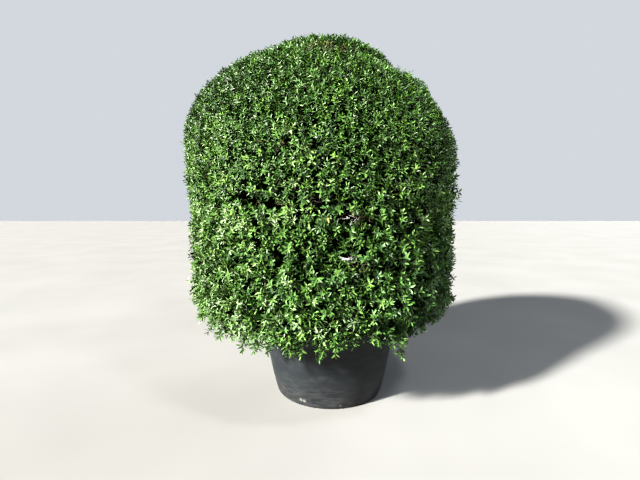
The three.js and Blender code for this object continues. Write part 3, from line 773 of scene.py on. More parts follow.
def grow_hanging():
    """Skirt and trailing sprays by the frame's rule, and a fringe of short ones between them."""
    wanted = []
    for i in range(SKIRT_SPRAYS):
        azimuth = 2 * math.pi * (i + 0.5 * random.random()) / SKIRT_SPRAYS - math.pi
        drop = SKIRT_DROP * (0.8 + 0.3 * random.random())
        if abs(azimuth + math.pi / 2) > FRONT_HALF_WIDTH:
            wanted.append((azimuth, SKIRT_RADIUS, drop, 0.0))
    for i in range(TRAILING_SPRAYS):
        drop = TRAILING_DROP * (0.9 + 0.1 * random.random())
        wanted.append((TRAILING_START + i * GOLDEN_ANGLE, TRAILING_RADIUS, drop, 0.0))
    wanted += [(*spray, 0.0) for spray in FRONT_SPRAYS]
    for i in range(FRINGE_SPRAYS):
        azimuth = i * GOLDEN_ANGLE
        lift = float(hem_lift(HOLLOW_HEM, np.array([azimuth]))[0])
        radius = FRINGE_RADIUS + 0.07 * random.random()
        wanted.append((azimuth, radius, 0.020 + 0.030 * random.random() ** 2, lift))
    grown = [hanging_spray(*spray) for spray in wanted]
    borne = [shoot for _, shoots in grown for shoot in shoots]
    tip, root, facing = (np.array(values) for values in zip(*borne))
    tint_level = 0.25 + 0.6 * random.random(len(tip))
    size = SHOOT_SIZE[1] * (0.95 + 0.25 * random.random(len(tip)))
    shoots = {"tip": tip, "root": root, "facing": facing, "tint_level": tint_level, "size": size}
    return np.array([path for path, _ in grown]), shoots


# Shapes that repeat: a leaf, a leafy shoot, a shoot's own stem, a clod of soil

def leaf(root, angle, spin, length, width, fold):
    """Corners and faces of a leaf: a pointed oval in four faces, folded along its midrib."""
    along = np.array([math.sin(angle) * math.cos(spin), math.sin(angle) * math.sin(spin), math.cos(angle)])
    across = np.array([-math.sin(spin), math.cos(spin), 0.0])
    upper = np.cross(along, across)

    def corner(share, half, side):
        middle = root + along * length * share - upper * LEAF_CURL * length * share ** 2
        return middle + across * side * half * width / 2 + upper * fold * half * width / 2

    right = [corner(share, half, -1) for share, half in LEAF_OUTLINE]
    left = [corner(share, half, 1) for share, half in LEAF_OUTLINE[1:3]]
    return right + left, [(0, 1, 2), (0, 2, 3), (0, 3, 5), (0, 5, 4)]


def single_leaf(fold):
    """One leaf that lies almost square to the way it faces, in an even shade."""
    corners, faces = leaf(np.zeros(3), 1.45, 0.0, LEAF_LENGTH, LEAF_WIDTH, fold)
    return corners, faces, np.ones(len(corners))


def leafy_shoot(number, leaves):
    """A shoot's leaves, spiralled up its axis: wide open at the foot, closing towards the tip.

    Each has a shade of its own, dark on the old leaves at the foot and light on the young ones."""
    own = np.random.default_rng(SEED + number)
    corners, faces, shades = [], [], []
    for i in range(leaves):
        share = (i + 0.5) / leaves
        root = np.array([0, 0, SHOOT_LEAFY_LENGTH * (share - 1)])
        angle = blend(*LEAF_ANGLE, share ** 1.3) + 0.16 * own.normal()
        spin = i * GOLDEN_ANGLE + 0.3 * own.normal()
        length = LEAF_LENGTH * blend(*LEAF_LENGTH_SHARE, share) * (0.9 + 0.2 * own.random())
        width = LEAF_WIDTH * blend(*LEAF_WIDTH_SHARE, share) * (0.9 + 0.2 * own.random())
        more_corners, more_faces = leaf(root, angle, spin, length, width, LEAF_FOLD * (0.5 + own.random()))
        faces += [tuple(index + len(corners) for index in face) for face in more_faces]
        corners += more_corners
        varied = 1 + LEAF_SHADE_VARIES * (own.random() - 0.5)
        shades += [blend(OLD_LEAF_SHADE, YOUNG_LEAF_SHADE, share) * varied] * len(more_corners)
    return corners, faces, shades


def stem_spike():
    """A shoot's stem: a three-sided spike of unit length that ends at the origin."""
    turns = [2 * math.pi * i / 3 for i in range(3)]
    corners = [(math.cos(t), math.sin(t), -1) for t in turns] + [(0, 0, 0)]
    return corners, [(2, 1, 0), (0, 1, 3), (1, 2, 3), (2, 0, 3)]


def clod(number):
    """A crumb of soil: an uneven lump of twenty faces."""
    own = np.random.default_rng(SEED + 40 + number)
    golden = (1 + math.sqrt(5)) / 2
    seeds = [(a, b * golden, 0) for a in (-1, 1) for b in (-1, 1)]
    corners = [np.roll(np.array(s, float), turn) for turn in range(3) for s in seeds]
    corners = [unit(c) * (0.6 + 0.4 * own.random()) for c in corners]
    near = [(i, j, k) for i in range(12) for j in range(i + 1, 12) for k in range(j + 1, 12)
            if all(np.dot(unit(corners[a]), unit(corners[b])) > 0.4 for a, b in ((i, j), (j, k), (i, k)))]
    faces = []
    for i, j, k in near:
        outward = np.dot(np.cross(corners[j] - corners[i], corners[k] - corners[i]), corners[i])
        faces.append((i, j, k) if outward > 0 else (i, k, j))
    return corners, faces


# Trees that set out shapes and lay wood along paths

def node(tree, kind, inputs, **settings):
    """A new node with its settings. An input is linked where it is given a socket, and set otherwise."""
    made = tree.nodes.new(kind)
    for name, value in settings.items():
        setattr(made, name, value)
    for name, value in inputs.items():
        if isinstance(value, bpy.types.NodeSocket):
            tree.links.new(value, made.inputs[name])
        else:
            made.inputs[name].default_value = value
    return made


def named_attribute(tree, name, kind):
    return node(tree, "GeometryNodeInputNamedAttribute", {"Name": name}, data_type=kind).outputs["Attribute"]


def tree_with(name, inputs):
    """A new tree with named inputs, and the sockets that bring them in."""
    tree = bpy.data.node_groups.new(name, "GeometryNodeTree")
    for label, kind in inputs.items():
        tree.interface.new_socket(label, in_out="INPUT", socket_type=f"NodeSocket{kind}")
    tree.interface.new_socket("Result", in_out="OUTPUT", socket_type="NodeSocketGeometry")
    return tree, tree.nodes.new("NodeGroupInput").outputs


def finish_tree(tree, given, geometry):
    """Ends a tree in plain faces with their material."""
    real = node(tree, "GeometryNodeRealizeInstances", {"Geometry": geometry}).outputs["Geometry"]
    coat = node(tree, "GeometryNodeSetMaterial", {"Geometry": real, "Material": given["Finish"]})
    node(tree, "NodeGroupOutput", {"Result": coat.outputs["Geometry"]})
    return tree


def build_setting_out_tree():
    """Sets one of several shapes on each place, turned to its facing and scaled to its size."""
    tree, given = tree_with("shapes_on_places", {
        "Places": "Geometry", "Shapes": "Collection", "Finish": "Material", "Scale": "Float", "Seed": "Int",
    })
    shapes = node(tree, "GeometryNodeCollectionInfo", {
        "Collection": given["Shapes"], "Separate Children": True, "Reset Children": True,
    })
    facing = named_attribute(tree, "facing", "FLOAT_VECTOR")
    turn = node(tree, "FunctionNodeAlignRotationToVector", {"Vector": facing}, axis="Z")
    angle = node(tree, "FunctionNodeRandomValue", {3: 2 * math.pi, "Seed": given["Seed"]}, data_type="FLOAT")
    spin = node(tree, "FunctionNodeAxisAngleToRotation", {"Axis": (0, 0, 1), "Angle": angle.outputs[1]})
    both = {"Rotation": turn.outputs["Rotation"], "Rotate By": spin.outputs["Rotation"]}
    rotation = node(tree, "FunctionNodeRotateRotation", both, rotation_space="LOCAL")
    scales = {0: named_attribute(tree, "size", "FLOAT_VECTOR"), "Scale": given["Scale"]}
    size = node(tree, "ShaderNodeVectorMath", scales, operation="SCALE")
    onto = node(tree, "GeometryNodeInstanceOnPoints", {
        "Points": given["Places"], "Instance": shapes.outputs["Instances"], "Pick Instance": True,
        "Rotation": rotation.outputs["Rotation"], "Scale": size.outputs["Vector"],
    })
    return finish_tree(tree, given, onto.outputs["Instances"])


def build_wood_tree():
    """Lays a tapering round section along each chain of edges."""
    tree, given = tree_with("wood_on_paths", {"Paths": "Geometry", "Sides": "Int", "Finish": "Material"})
    curve = node(tree, "GeometryNodeMeshToCurve", {"Mesh": given["Paths"]})
    section = node(tree, "GeometryNodeCurvePrimitiveCircle", {"Radius": 1.0, "Resolution": given["Sides"]})
    tube = node(tree, "GeometryNodeCurveToMesh", {
        "Curve": curve.outputs["Curve"], "Profile Curve": section.outputs["Curve"],
        "Scale": named_attribute(tree, "thickness", "FLOAT"), "Fill Caps": True,
    })
    return finish_tree(tree, given, tube.outputs["Mesh"])


SHAPES_ON_PLACES = build_setting_out_tree()
WOOD_ON_PATHS = build_wood_tree()


# Pieces

def mesh_of(name, corners, faces, edges=()):
    mesh = bpy.data.meshes.new(name)
    mesh.from_pydata([tuple(c) for c in corners], list(edges), faces)
    mesh.update()
    return mesh


def show(name, data):
    """A new object in the scene."""
    made = bpy.data.objects.new(name, data)
    bpy.context.scene.collection.objects.link(made)
    return made


def attach(piece, cad_node):
    """Makes a piece ride with the plant, in place of a node."""
    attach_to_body(piece, BODY)
    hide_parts(cad_node)


def smooth_piece(name, cad_node, corners, faces, material):
    """A smooth piece from its corners and faces."""
    piece = show(name, mesh_of(name, corners, faces))
    piece.data.materials.append(material)
    piece.data.polygons.foreach_set("use_smooth", [True] * len(piece.data.polygons))
    attach(piece, cad_node)


def grown_piece(name, slot, base, tree, inputs):
    """Runs a tree on a mesh and keeps the result as a plain mesh in place of the slot's node."""
    piece = show(name, base)
    modifier = piece.modifiers.new("grow", "NODES")
    modifier.node_group = tree
    identifiers = {item.name: item.identifier for item in tree.interface.items_tree}
    for label, value in inputs.items():
        modifier[identifiers[label]] = value
    made = bpy.data.meshes.new_from_object(piece.evaluated_get(bpy.context.evaluated_depsgraph_get()))
    piece.modifiers.clear()
    piece.data = made
    made.name = name
    attach(piece, slot)


def shape_collection(name, shapes):
    """Repeated shapes in a collection of their own, for a tree to set out; leaves bring their shades."""
    collection = bpy.data.collections.new(name)
    bpy.context.scene.collection.children.link(collection)
    for number, (corners, faces, *shades) in enumerate(shapes):
        mesh = mesh_of(f"{name}_{number}", corners, faces)
        if shades:
            mesh.attributes.new("shade", "FLOAT", "POINT").data.foreach_set("value", shades[0])
        collection.objects.link(bpy.data.objects.new(mesh.name, mesh))
    return collection


def set_out(name, slot, shapes, points, facing, size, finish, scale=1.0, seed=SEED):
    """One piece of shapes set out on points. A point's size is one number, or one for each direction."""
    base = mesh_of(f"{name}_places", points, [])
    sizes = size[:, None] if np.ndim(size) == 1 else size
    sizes = np.broadcast_to(sizes, (len(points), 3))
    for label, values in (("facing", facing), ("size", sizes)):
        base.attributes.new(label, "FLOAT_VECTOR", "POINT").data.foreach_set("vector", np.ravel(values))
    collection = shape_collection(f"{name}_shapes", shapes)
    inputs = {"Shapes": collection, "Finish": finish, "Scale": scale, "Seed": seed}
    grown_piece(name, slot, base, SHAPES_ON_PLACES, inputs)
    for shape in list(collection.objects):
        bpy.data.objects.remove(shape)
    bpy.data.collections.remove(collection)


def lay_wood(name, paths, root_radius, tip_radius, sides, finish):
    """One piece of round wood along paths, tapering from root to tip."""
    count, steps, _ = paths.shape
    chain = np.arange(count * steps).reshape(count, steps)
    edges = np.stack([chain[:, :-1].ravel(), chain[:, 1:].ravel()], axis=1)
    base = mesh_of(f"{name}_paths", paths.reshape(-1, 3), [], edges.tolist())
    share = np.tile(np.linspace(0, 1, steps), count)
    thickness = blend(np.repeat(np.broadcast_to(root_radius, count), steps), tip_radius, share)
    base.attributes.new("thickness", "FLOAT", "POINT").data.foreach_set("value", thickness)
    grown_piece(name, "foliage", base, WOOD_ON_PATHS, {"Sides": sides, "Finish": finish})


# Finishes

def opaque(colour):
    return (*colour, 1) if isinstance(colour, tuple) else colour


class Finish:
    """A material in the making, with patterns on the object's own coordinates."""

    def __init__(self, name, roughness=0.5, gloss=0.5):
        self.material = bpy.data.materials.new(name)
        self.material.use_nodes = True
        self.tree = self.material.node_tree
        self.shader = self.tree.nodes["Principled BSDF"]
        self.shader.inputs["Roughness"].default_value = roughness
        self.shader.inputs["Specular IOR Level"].default_value = gloss
        self.place = self.tree.nodes.new("ShaderNodeTexCoord").outputs["Object"]

    def show(self, value, socket="Base Color"):
        self.tree.links.new(value, self.shader.inputs[socket])

    def noise(self, scale, detail=3.0, stretch=None):
        place = self.place
        if stretch:
            mapping = node(self.tree, "ShaderNodeMapping", {"Vector": place, "Scale": stretch})
            place = mapping.outputs["Vector"]
        inputs = {"Vector": place, "Scale": scale, "Detail": detail}
        return node(self.tree, "ShaderNodeTexNoise", inputs).outputs["Fac"]

    def ramp(self, factor, *stops):
        """A ramp through (position, value or colour) stops."""
        ramp = node(self.tree, "ShaderNodeValToRGB", {"Fac": factor})
        ends = ramp.color_ramp.elements
        for number, (position, value) in enumerate(stops):
            end = ends[number] if number < 2 else ends.new(position)
            end.position = position
            end.color = opaque(value) if isinstance(value, tuple) else (value, value, value, 1)
        return ramp.outputs["Color"]

    def mix(self, factor, first, second, kind="MIX"):
        inputs = {0: factor, 6: opaque(first), 7: opaque(second)}
        return node(self.tree, "ShaderNodeMix", inputs, data_type="RGBA", blend_type=kind).outputs[2]

    def tinted(self, first, second):
        return self.mix(1.0, first, second, "MULTIPLY")

    def product(self, first, second):
        return node(self.tree, "ShaderNodeMath", {0: first, 1: second}, operation="MULTIPLY").outputs[0]

    def height(self):
        return node(self.tree, "ShaderNodeSeparateXYZ", {"Vector": self.place}).outputs["Z"]

    def spot(self, middle, radius):
        """1 within a radius of a place on the wall, fading to 0 just outside."""
        away = node(self.tree, "ShaderNodeVectorMath", {0: self.place, 1: middle}, operation="DISTANCE")
        return self.ramp(away.outputs["Value"], (radius * 0.8, 1.0), (radius * 1.3, 0.0))

    def bump(self, height, distance, strength):
        inputs = {"Height": height, "Distance": distance, "Strength": strength}
        self.show(node(self.tree, "ShaderNodeBump", inputs).outputs["Normal"], "Normal")


def leaf_finish(name, colour, roughness, gloss=0.5):
    """A glossy leaf in one plain tint, varied from leaf to leaf: cooler at the hem, yellower on the dome,
    where the tint offsets the sky's sheen.
    """
    finish = Finish(name, roughness, gloss)
    patchy = finish.ramp(finish.noise(46.0, 1.0), (0.32, 0.80), (0.68, 1.20))
    shade = node(finish.tree, "ShaderNodeAttribute", {}, attribute_name="shade").outputs["Fac"]
    tint = finish.tinted(finish.tinted(colour, patchy), shade)
    high = finish.product(finish.height(), 1 / HEAD_TOP)
    # On the dome the tint cuts blue to offset the sky's sheen there.
    by_height = [(0.30, HEM_TINT), (0.50, PLAIN_TINT), (0.60, PLAIN_TINT), (0.85, DOME_SHEEN_OFFSET_TINT)]
    finish.show(finish.tinted(tint, finish.ramp(high, *by_height)))
    return finish.material


def bark_finish(name, dark, light, wart, scale):
    """Smooth grey bark: lengthwise streaks, blotches and pale warts."""
    finish = Finish(name, 0.86, 0.25)
    streak = finish.noise(scale, 4.0, (1, 1, 0.22))
    body = finish.ramp(streak, (0.30, dark), (0.70, light))
    warts = finish.ramp(finish.noise(scale * 5, 1.0, (1, 1, 1.6)), (0.60, 0.0), (0.68, 1.0))
    finish.show(finish.mix(warts, body, wart))
    finish.bump(streak, 0.002, 0.6)
    return finish.material


def pot_finish():
    """Satin charcoal plastic: cloudy, smeared aslant, dusty and scratched towards the foot."""
    finish = Finish("charcoal_plastic", gloss=0.4)
    cloud = finish.noise(4.0, 4.0)
    fine = finish.noise(170.0)
    smear = finish.noise(9.0, 5.0, (1.0, 1.0, 1.7))
    scratch = finish.noise(26.0, 6.0, (0.5, 0.5, 4.0))
    stroke = finish.noise(7.0, 6.0, (1.0, 1.0, 3.4))
    wall = finish.ramp(cloud, (0.32, POT_DARK), (0.70, POT_LIGHT))
    smears = finish.product(finish.ramp(smear, (0.52, 0.0), (0.70, 1.0)), POT_SMEARED)
    wall = finish.mix(smears, wall, POT_SMEAR)
    wall = finish.mix(finish.ramp(stroke, (0.58, 0.0), (0.66, 0.75)), wall, POT_STROKE)
    low = finish.ramp(finish.height(), (0.04, 1.0), (0.24, 0.0))
    dusty = finish.product(low, finish.ramp(scratch, (0.42, 0.12), (0.60, 1.0)))
    wall = finish.mix(finish.product(dusty, POT_DUSTED), wall, POT_DUST)
    specks = finish.product(low, finish.ramp(fine, (0.68, 0.0), (0.76, 0.8)))
    wall = finish.mix(specks, wall, POT_MARK)
    for middle, radius in POT_MARKS:
        wall = finish.mix(finish.spot(middle, radius), wall, POT_MARK)
    finish.show(wall)
    finish.show(finish.ramp(scratch, (0.30, 0.54), (0.70, 0.68)), "Roughness")
    finish.bump(fine, 0.0006, 0.35)
    return finish.material


def soil_finish():
    """Moist potting soil: dark crumbs with paler fibres."""
    finish = Finish("potting_soil", 0.95)
    grain = finish.noise(90.0, 6.0)
    finish.show(finish.ramp(grain, (0.30, SOIL_DARK), (0.62, SOIL_BROWN), (0.80, SOIL_FIBRE)))
    finish.bump(grain, 0.004, 0.8)
    return finish.material


# Pot and soil

def ring_faces(rings, sides):
    """Faces of a closed shape of rings between two end points."""
    last = 1 + (rings - 1) * sides
    faces = []
    for i in range(sides):
        after = (i + 1) % sides
        faces.append((0, 1 + after, 1 + i))
        for low in range(1, last, sides):
            faces.append((low + i, low + after, low + sides + after, low + sides + i))
        faces.append((last + i, last + after, last + sides))
    return faces


def lathe(profile, segments):
    """Corners and faces of a shape turned about the vertical axis; the profile ends on the axis."""
    turns = [2 * math.pi * i / segments for i in range(segments)]
    corners = [np.array([0, 0, profile[0][1]])]
    for radius, z in profile[1:-1]:
        corners += [np.array([radius * math.cos(t), radius * math.sin(t), z]) for t in turns]
    corners.append(np.array([0, 0, profile[-1][1]]))
    return corners, ring_faces(len(profile) - 2, segments)


def arc(centre, radius, start, end, steps):
    """Profile points along an arc, by angle from the outward direction."""
    turns = [start + (end - start) * i / steps for i in range(steps + 1)]
    return [(centre[0] + radius * math.cos(t), centre[1] + radius * math.sin(t)) for t in turns]


def pot_wall_radius(z):
    """The drafted wall's radius at a height, drawn in a little towards the foot."""
    low = max(0.0, 1 - z / POT_FOOT_TUCK_HEIGHT)
    return POT_RADIUS_AT_FOOT + POT_DRAFT * z - POT_FOOT_TUCK * low ** 2


def foot_corner(bend, lift, inset):
    """The rounded corner where the wall meets the flat foot, from underside to wall."""
    lean = math.atan(POT_DRAFT)
    top = lift + bend - bend * math.sin(lean)
    centre = (pot_wall_radius(top) - inset - bend * math.cos(lean), lift + bend)
    return arc(centre, bend, -math.pi / 2, -lean, 10)


def make_pot():
    band = POT_HEIGHT - RIM_DEPTH
    wall = [(pot_wall_radius(z), z) for z in np.linspace(0.04, band - BAND_FILLET, 24)]
    rim = pot_wall_radius(POT_HEIGHT) + RIM_PROUD
    low = pot_wall_radius(band) + RIM_PROUD
    lip = pot_wall_radius(POT_HEIGHT) - POT_WALL
    quarter = math.pi / 2
    outside = [(0, 0), (0.2, 0), (POT_RADIUS_AT_FOOT * 0.9, 0), *foot_corner(POT_FOOT_ROUND, 0, 0), *wall[1:]]
    fillet = (pot_wall_radius(band) + BAND_FILLET, band - BAND_FILLET)
    outside += arc(fillet, BAND_FILLET, math.pi, quarter, 4)
    outside += arc((low - BAND_EDGE, band + BAND_EDGE), BAND_EDGE, -quarter, 0, 4)
    outside += arc((rim - RIM_ROUND, POT_HEIGHT - RIM_ROUND), RIM_ROUND, 0, quarter, 6)
    outside += arc((lip + LIP_ROUND, POT_HEIGHT - LIP_ROUND), LIP_ROUND, quarter, math.pi, 5)
    inside = [(pot_wall_radius(z) - POT_WALL, z) for z in np.linspace(POT_HEIGHT - 0.03, 0.06, 6)]
    inside += foot_corner(POT_FOOT_ROUND - POT_WALL, POT_FLOOR, POT_WALL)[::-1]
    corners, faces = lathe([*outside, *inside, (0, POT_FLOOR)], POT_SEGMENTS)
    for corner in corners:
        upright = smoothstep(corner[2], 0.05, 0.20) * (1 - smoothstep(corner[2], 0.50, 0.56))
        azimuth = math.atan2(corner[1], corner[0])
        wave = math.sin(3 * azimuth + 1.1) + 0.6 * math.sin(7 * azimuth - corner[2] * 9)
        radius = math.hypot(corner[0], corner[1])
        if radius > 0:
            corner[:2] *= 1 - POT_WAVE * upright * (1.6 + wave) / radius
    smooth_piece("pot_shell", "pot", corners, faces, pot_finish())


def soil_height(x, y):
    radius = math.hypot(x, y)
    edge = POT_HEIGHT - SOIL_BELOW_RIM
    mound = SOIL_MOUND * (1 - float(smoothstep(radius, SOIL_MOUND_RADIUS, SOIL_SLOPE_RADIUS)))
    crumb = noise.fractal(Vector((x * 26, y * 26, 0)), 0.8, 2.1, 4)
    return edge + mound + SOIL_RELIEF * float(np.clip(crumb, -1, 1)) - SOIL_RELIEF * 0.5


def make_soil(finish):
    inset = POT_WALL + SOIL_GAP
    bottom = POT_FLOOR + SOIL_GAP
    edge = POT_HEIGHT - SOIL_BELOW_RIM
    foot = foot_corner(POT_FOOT_ROUND - POT_WALL, bottom, inset)
    top = [(r, edge) for r in np.linspace(pot_wall_radius(edge) - inset, 0.02, 46)]
    corners, faces = lathe([(0, bottom), *foot, *top, (0, edge)], SOIL_SEGMENTS)
    for corner in corners:
        if corner[2] >= edge - 1e-6:
            corner[2] = soil_height(corner[0], corner[1])
    smooth_piece("soil_bed", "soil", corners, faces, finish)


def scatter_on_soil(count, reach, seed):
    """Places on the soil between two radii, and the generator that chose them."""
    own = np.random.default_rng(seed)
    radius = np.sqrt(blend(reach[0] ** 2, reach[1] ** 2, own.random(count)))
    azimuth = own.random(count) * 2 * math.pi
    x, y = radius * np.cos(azimuth), radius * np.sin(azimuth)
    z = np.array([soil_height(*at) for at in zip(x, y)])
    return np.stack([x, y, z], axis=1), own


def make_soil_litter(soil_material):
    """Crumbs of soil and fallen leaves on the bed."""
    points, own = scatter_on_soil(SOIL_CLODS, CLOD_REACH, SEED + 3)
    size = (0.0025 + 0.006 * own.random(SOIL_CLODS) ** 2)[:, None] * np.array([1.0, 1.0, 0.7])
    clods = [clod(number) for number in range(4)]
    set_out("soil_crumbs", "soil", clods, points, own.normal(size=points.shape), size, soil_material)
    points, own = scatter_on_soil(FALLEN_LEAVES, FALLEN_REACH, SEED + 4)
    facing = unit(UP + 0.25 * own.normal(size=points.shape))
    flat = [single_leaf(0.2), single_leaf(0.45)]
    finish = leaf_finish("leaf_fallen", FALLEN_LEAF, 0.7)
    set_out("fallen_leaves", "soil", flat, points + UP * 0.004, facing, 1.0, finish)


# Trunk and boughs

def along_frames(path):
    """Two directions square to a path at each of its points, carried on without twist."""
    along = unit(np.gradient(path, axis=0))
    first = unit(np.cross(along[0], [0.3, 1.0, 0.1]))
    firsts = []
    for way in along:
        first = unit(first - way * np.dot(first, way))
        firsts.append(first)
    return np.array(firsts), np.cross(along, np.array(firsts))


def bark_relief(turn, radius, length):
    """What bends, wrinkles and warts add to a limb's radius at a turn round it and a length along it."""
    at = Vector((math.cos(turn) * radius, math.sin(turn) * radius, length))
    wrinkle = noise.fractal(Vector((at.x * 120, at.y * 120, at.z * 26)), 0.9, 2.0, 3)
    wart = max(0.0, noise.noise(Vector((at.x * 190, at.y * 190, at.z * 300))) - 0.34)
    bend = noise.noise(Vector((at.x * 16, at.y * 16, at.z * 9))) * radius * BARK_BEND
    return BARK_WRINKLE * wrinkle + BARK_WART * 2 * wart + bend - BARK_WRINKLE


def bark_limb(name, path, radius_at, sides, finish, cad_node):
    """A closed limb along a path, with the bark's relief in its surface."""
    first, second = along_frames(path)
    length = np.concatenate([[0], np.cumsum(np.linalg.norm(np.diff(path, axis=0), axis=1))])
    corners = [path[0]]
    for ring, middle in enumerate(path):
        for i in range(sides):
            turn = 2 * math.pi * i / sides
            radius = radius_at(ring / (len(path) - 1), turn)
            radius += bark_relief(turn, radius, length[ring])
            across = first[ring] * radius * math.cos(turn)
            corners.append(middle + across + second[ring] * radius * math.sin(turn))
    corners.append(path[-1])
    smooth_piece(name, cad_node, corners, ring_faces(len(path), sides), finish)


def trunk_radius(share, turn):
    """Buttressed at the soil, then even, then drawn in to the leader at the fork."""
    flare = (FLARE_RADIUS - TRUNK_RADIUS) * (1 - share) ** 5
    buttress = 0.73 + 0.27 * math.cos(FLARE_BUTTRESSES * turn)
    return blend(TRUNK_RADIUS, FORK_RADIUS, float(smoothstep(share, 0.74, 1))) + flare * buttress


def bough_radius(share, turn):
    """Tapering, with a swollen collar where the bough leaves the trunk."""
    collar = BOUGH_COLLAR * math.exp(-(((share - 0.18) / 0.10) ** 2))
    return blend(BOUGH_ROOT_RADIUS, BOUGH_TIP_RADIUS, share) + collar * (0.8 + 0.2 * math.cos(2 * turn))


def leader_radius(share, turn):
    return blend(FORK_RADIUS, LEADER_TIP_RADIUS, share) * (1 + 0.02 * math.cos(3 * turn))


def make_limbs(finish):
    bark_limb("trunk_bark", trunk_curve(84), trunk_radius, 100, finish, "trunk")
    bark_limb("leader_bark", leader_curve(64), leader_radius, 46, finish, "bough_leader")
    for number in range(1, RING_BOUGHS + 1):
        bough = bough_curve(number, 84)
        bark_limb(f"bough_{number}_bark", bough, bough_radius, 42, finish, f"bough_{number}")


# Foliage

def leaf_piece(name, shapes, tips, facing, size, finish, scale=1.0):
    """Leaves or leafy shoots as one piece of the foliage."""
    set_out(name, "foliage", shapes, tips, facing, size, finish, scale, SEED + len(tips))


def make_leaves(shoots):
    """The face's leaves, dealt out by spray into tints by the shoots' tint level of vigour and painted light.
    """
    shapes = [leafy_shoot(number, LEAVES_PER_SHOOT) for number in range(SHAPES_OF_SHOOT)]
    low = -9.0
    for tint, high, colour, roughness in LEAF_TINTS:
        finish = leaf_finish(f"leaf_{tint}", colour, roughness, LEAF_GLOSS)
        chosen = np.flatnonzero((shoots["tint_level"] >= low) & (shoots["tint_level"] < high))
        low = high
        parts = max(1, math.ceil(len(chosen) / SHOOTS_PER_PIECE))
        for number, share in enumerate(np.array_split(chosen, parts)):
            tip, facing, size = (shoots[key][share] for key in ("tip", "facing", "size"))
            leaf_piece(f"leaves_{tint}_{number + 1}", shapes, tip, facing, size, finish)


def make_inner_leaves(crown):
    """Older leaves along the twigs, darkened partly as painted shade, and large ones further in, painted near
    black as shade, that close the head.
    """
    shapes = [leafy_shoot(number + 20, INNER_LEAVES_PER_SHOOT) for number in range(SHAPES_OF_INNER_SHOOT)]
    twigs, outward = crown["twigs"], crown["twig_places"]["outward"]
    tip = twigs[:, 2] * 0.6 + twigs[:, 3] * 0.4
    closed = gap_depth(crown["twig_places"]["point"]) <= 0.5
    facing = unit(outward + 0.35 * UP + 0.5 * random.normal(size=tip.shape))
    # The older leaves' dark colour is partly painted shade.
    older_painted_shade = leaf_finish("leaf_inner", INNER_LEAF_PAINTED_SHADE, 0.65, 0.06)
    leaf_piece("leaves_older", shapes, tip[closed], facing[closed], 1.0, older_painted_shade, INNER_LEAF_SCALE)
    outward = np.repeat(crown["branch_places"]["outward"], len(SHADED_DEPTHS), axis=0)
    ends = np.repeat(crown["branches"][:, -1], len(SHADED_DEPTHS), axis=0)
    ends = ends - outward * np.tile(SHADED_DEPTHS, BRANCHES)[:, None]
    ends = ends + SHADED_SCATTER * (random.random(ends.shape) - 0.5)
    facing = unit(outward + 0.6 * random.normal(size=ends.shape))
    aside = np.hypot(ends[:, 0] - head_shift(ends[:, 2]), ends[:, 1])
    inside = aside < outline_radius(ends[:, 2]) - SHADED_INSET
    inside = inside & (ends[:, 2] > HOLLOW_HEM + SHADED_ABOVE_HEM)
    # Near-black colour: painted shade for the leaves deep inside.
    shaded = leaf_finish("leaf_shaded", PAINTED_SHADE_LEAF, 0.80, 0.0)
    leaf_piece("leaves_shaded", shapes, ends[inside], facing[inside], 1.0, shaded, SHADED_LEAF_SCALE)


def face_place(x, z, depth):
    """The place on the front of the head at x and z, a depth inside its outline."""
    reach = float(outline_radius(z)) - depth
    return np.array([x, -math.sqrt(reach ** 2 - (x - float(head_shift(z))) ** 2), z])


def dead_leaves(name, places, colour, own):
    """Single dead leaves that hang in the gaps of the face."""
    tips = np.array([face_place(x, z, DEAD_LEAF_DEPTH) for x, z in places])
    facing = unit(np.array([-0.3, -1.0, 0.0]) + 0.3 * own.normal(size=tips.shape))
    leaf_piece(name, [single_leaf(0.35)], tips, facing, 1.0, leaf_finish(name, colour, 0.75, 0.12))


def dead_twigs(name, patches, depth, finish, own):
    """Leafless twiglets that stick out of the gaps in the face."""
    tips, ways = [], []
    for x, z, width, height, count, rise in patches:
        for _ in range(count):
            at = face_place(x + width * (own.random() - 0.5), z + height * (own.random() - 0.5), depth)
            tips.append(at + np.array([0, 0.012 * own.random(), 0]))
            ways.append(unit(np.array([1.2 * own.normal(), -1.0, rise * own.normal()])))
    length = BARE_TWIG_LENGTH * (0.6 + 0.8 * own.random(len(tips)))
    thick = STEM_THICKNESS + 0.0006 * own.random(len(tips))
    set_out(name, "foliage", [stem_spike()], tips, ways, np.stack([thick, thick, length], axis=1), finish)


def make_dead_growth():
    """Brown leaves and bare twigs in the gaps, and a patch of pale ones."""
    own = np.random.default_rng(SEED + 7)
    dead_leaves("leaves_orange", ORANGE_LEAVES, ORANGE_LEAF, own)
    dead_leaves("leaves_brown", BROWN_LEAVES, BROWN_LEAF, own)
    dead = bark_finish("bare_twig_bark", *DEAD_BARK)
    dead_twigs("bare_twigs", BARE_TWIG_PATCHES, BARE_TWIG_DEPTH, dead, own)
    pale = bark_finish("pale_twig_bark", *PALE_BARK)
    dead_twigs("pale_twigs", PALE_TWIG_PATCHES, PALE_TWIG_DEPTH, pale, own)


def make_shoot_stems(shoots):
    """The stems that carry the leafy shoots, from their twigs to their tips."""
    along = shoots["tip"] - shoots["root"]
    length = np.linalg.norm(along, axis=1)
    thick = np.full(len(length), STEM_THICKNESS)
    size = np.stack([thick, thick, length], axis=1)
    set_out("shoot_stems", "foliage", [stem_spike()], shoots["tip"], along, size,
            bark_finish("shoot_bark", *GREEN_BARK))


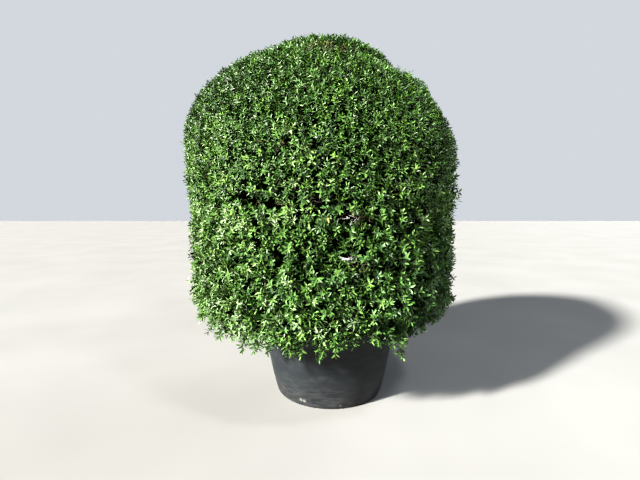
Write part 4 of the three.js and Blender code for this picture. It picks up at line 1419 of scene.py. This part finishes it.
def make_crown_wood(crown, hanging, bark):
    """Stems, limbs, branches and twigs inside the head, and the skirt's twigs."""
    young = bark_finish("twig_bark", *YOUNG_BARK)
    lay_wood("crown_stems", crown["stems"], *STEM_WOOD, bark)
    lay_wood("crown_limbs", crown["limbs"], *LIMB_WOOD, young)
    lay_wood("crown_branches", crown["branches"], *BRANCH_WOOD, young)
    lay_wood("crown_twigs", crown["twigs"], *TWIG_WOOD, young)
    lay_wood("skirt_twigs", hanging, *SKIRT_WOOD, young)


def make_plant():
    make_pot()
    soil = soil_finish()
    make_soil(soil)
    bark = bark_finish("grey_bark", *GREY_BARK)
    make_limbs(bark)
    crown = grow_crown()
    shoots = grow_shoots(crown)
    hanging, hanging_shoots = grow_hanging()
    shoots = {key: np.concatenate([shoots[key], hanging_shoots[key]]) for key in shoots}
    make_leaves(shoots)
    make_inner_leaves(crown)
    make_dead_growth()
    make_shoot_stems(shoots)
    make_crown_wood(crown, hanging, bark)
    make_soil_litter(soil)


# Stage, lights and camera

def make_stage():
    """A plain pale floor, and a sky that shows brighter than it lights."""
    corners = [(x * FLOOR_REACH, y * FLOOR_REACH, 0) for x, y in ((-1, -1), (1, -1), (1, 1), (-1, 1))]
    floor = show("floor", mesh_of("floor", corners, [(0, 1, 2, 3)]))
    finish = Finish("pale_floor", 0.9)
    finish.show(finish.ramp(finish.noise(0.8, 2.0), (0.3, FLOOR_DARK), (0.7, FLOOR_LIGHT)))
    floor.data.materials.append(finish.material)
    world = bpy.data.worlds.new("studio")
    bpy.context.scene.world = world
    world.use_nodes = True
    tree = world.node_tree
    sky = tree.nodes["Background"]
    sky.inputs["Color"].default_value = opaque(SKY_COLOUR)
    seen = tree.nodes.new("ShaderNodeLightPath").outputs["Is Camera Ray"]
    strength = node(tree, "ShaderNodeMapRange", {"Value": seen, "To Min": SKY_LIGHT, "To Max": SKY_SEEN})
    tree.links.new(strength.outputs["Result"], sky.inputs["Strength"])


def make_lights():
    for name, kind, breadth, strength, colour, place, aim in LIGHTS:
        light = bpy.data.lights.new(name, kind)
        if kind == "SUN":
            light.angle = breadth
        else:
            light.size = breadth
        light.energy = strength
        light.color = colour
        holder = show(name, light)
        holder.location = place
        holder.rotation_mode = "QUATERNION"
        holder.rotation_quaternion = (Vector(aim) - Vector(place)).to_track_quat("-Z", "Y")


def make_camera():
    camera = bpy.data.cameras.new("camera")
    camera.sensor_width = SENSOR_WIDTH
    camera.lens = FOCAL_PIXELS / PICTURE_WIDTH * SENSOR_WIDTH
    camera.clip_start = 0.05
    holder = show("camera", camera)
    holder.location = CAMERA_PLACE
    holder.rotation_euler = (math.radians(90 - CAMERA_TIP_DOWN), 0, 0)
    bpy.context.scene.camera = holder


make_plant()
make_stage()
make_lights()
make_camera()
bpy.context.scene.view_settings.view_transform = "Standard"
bpy.context.scene.view_settings.look = "Medium High Contrast"
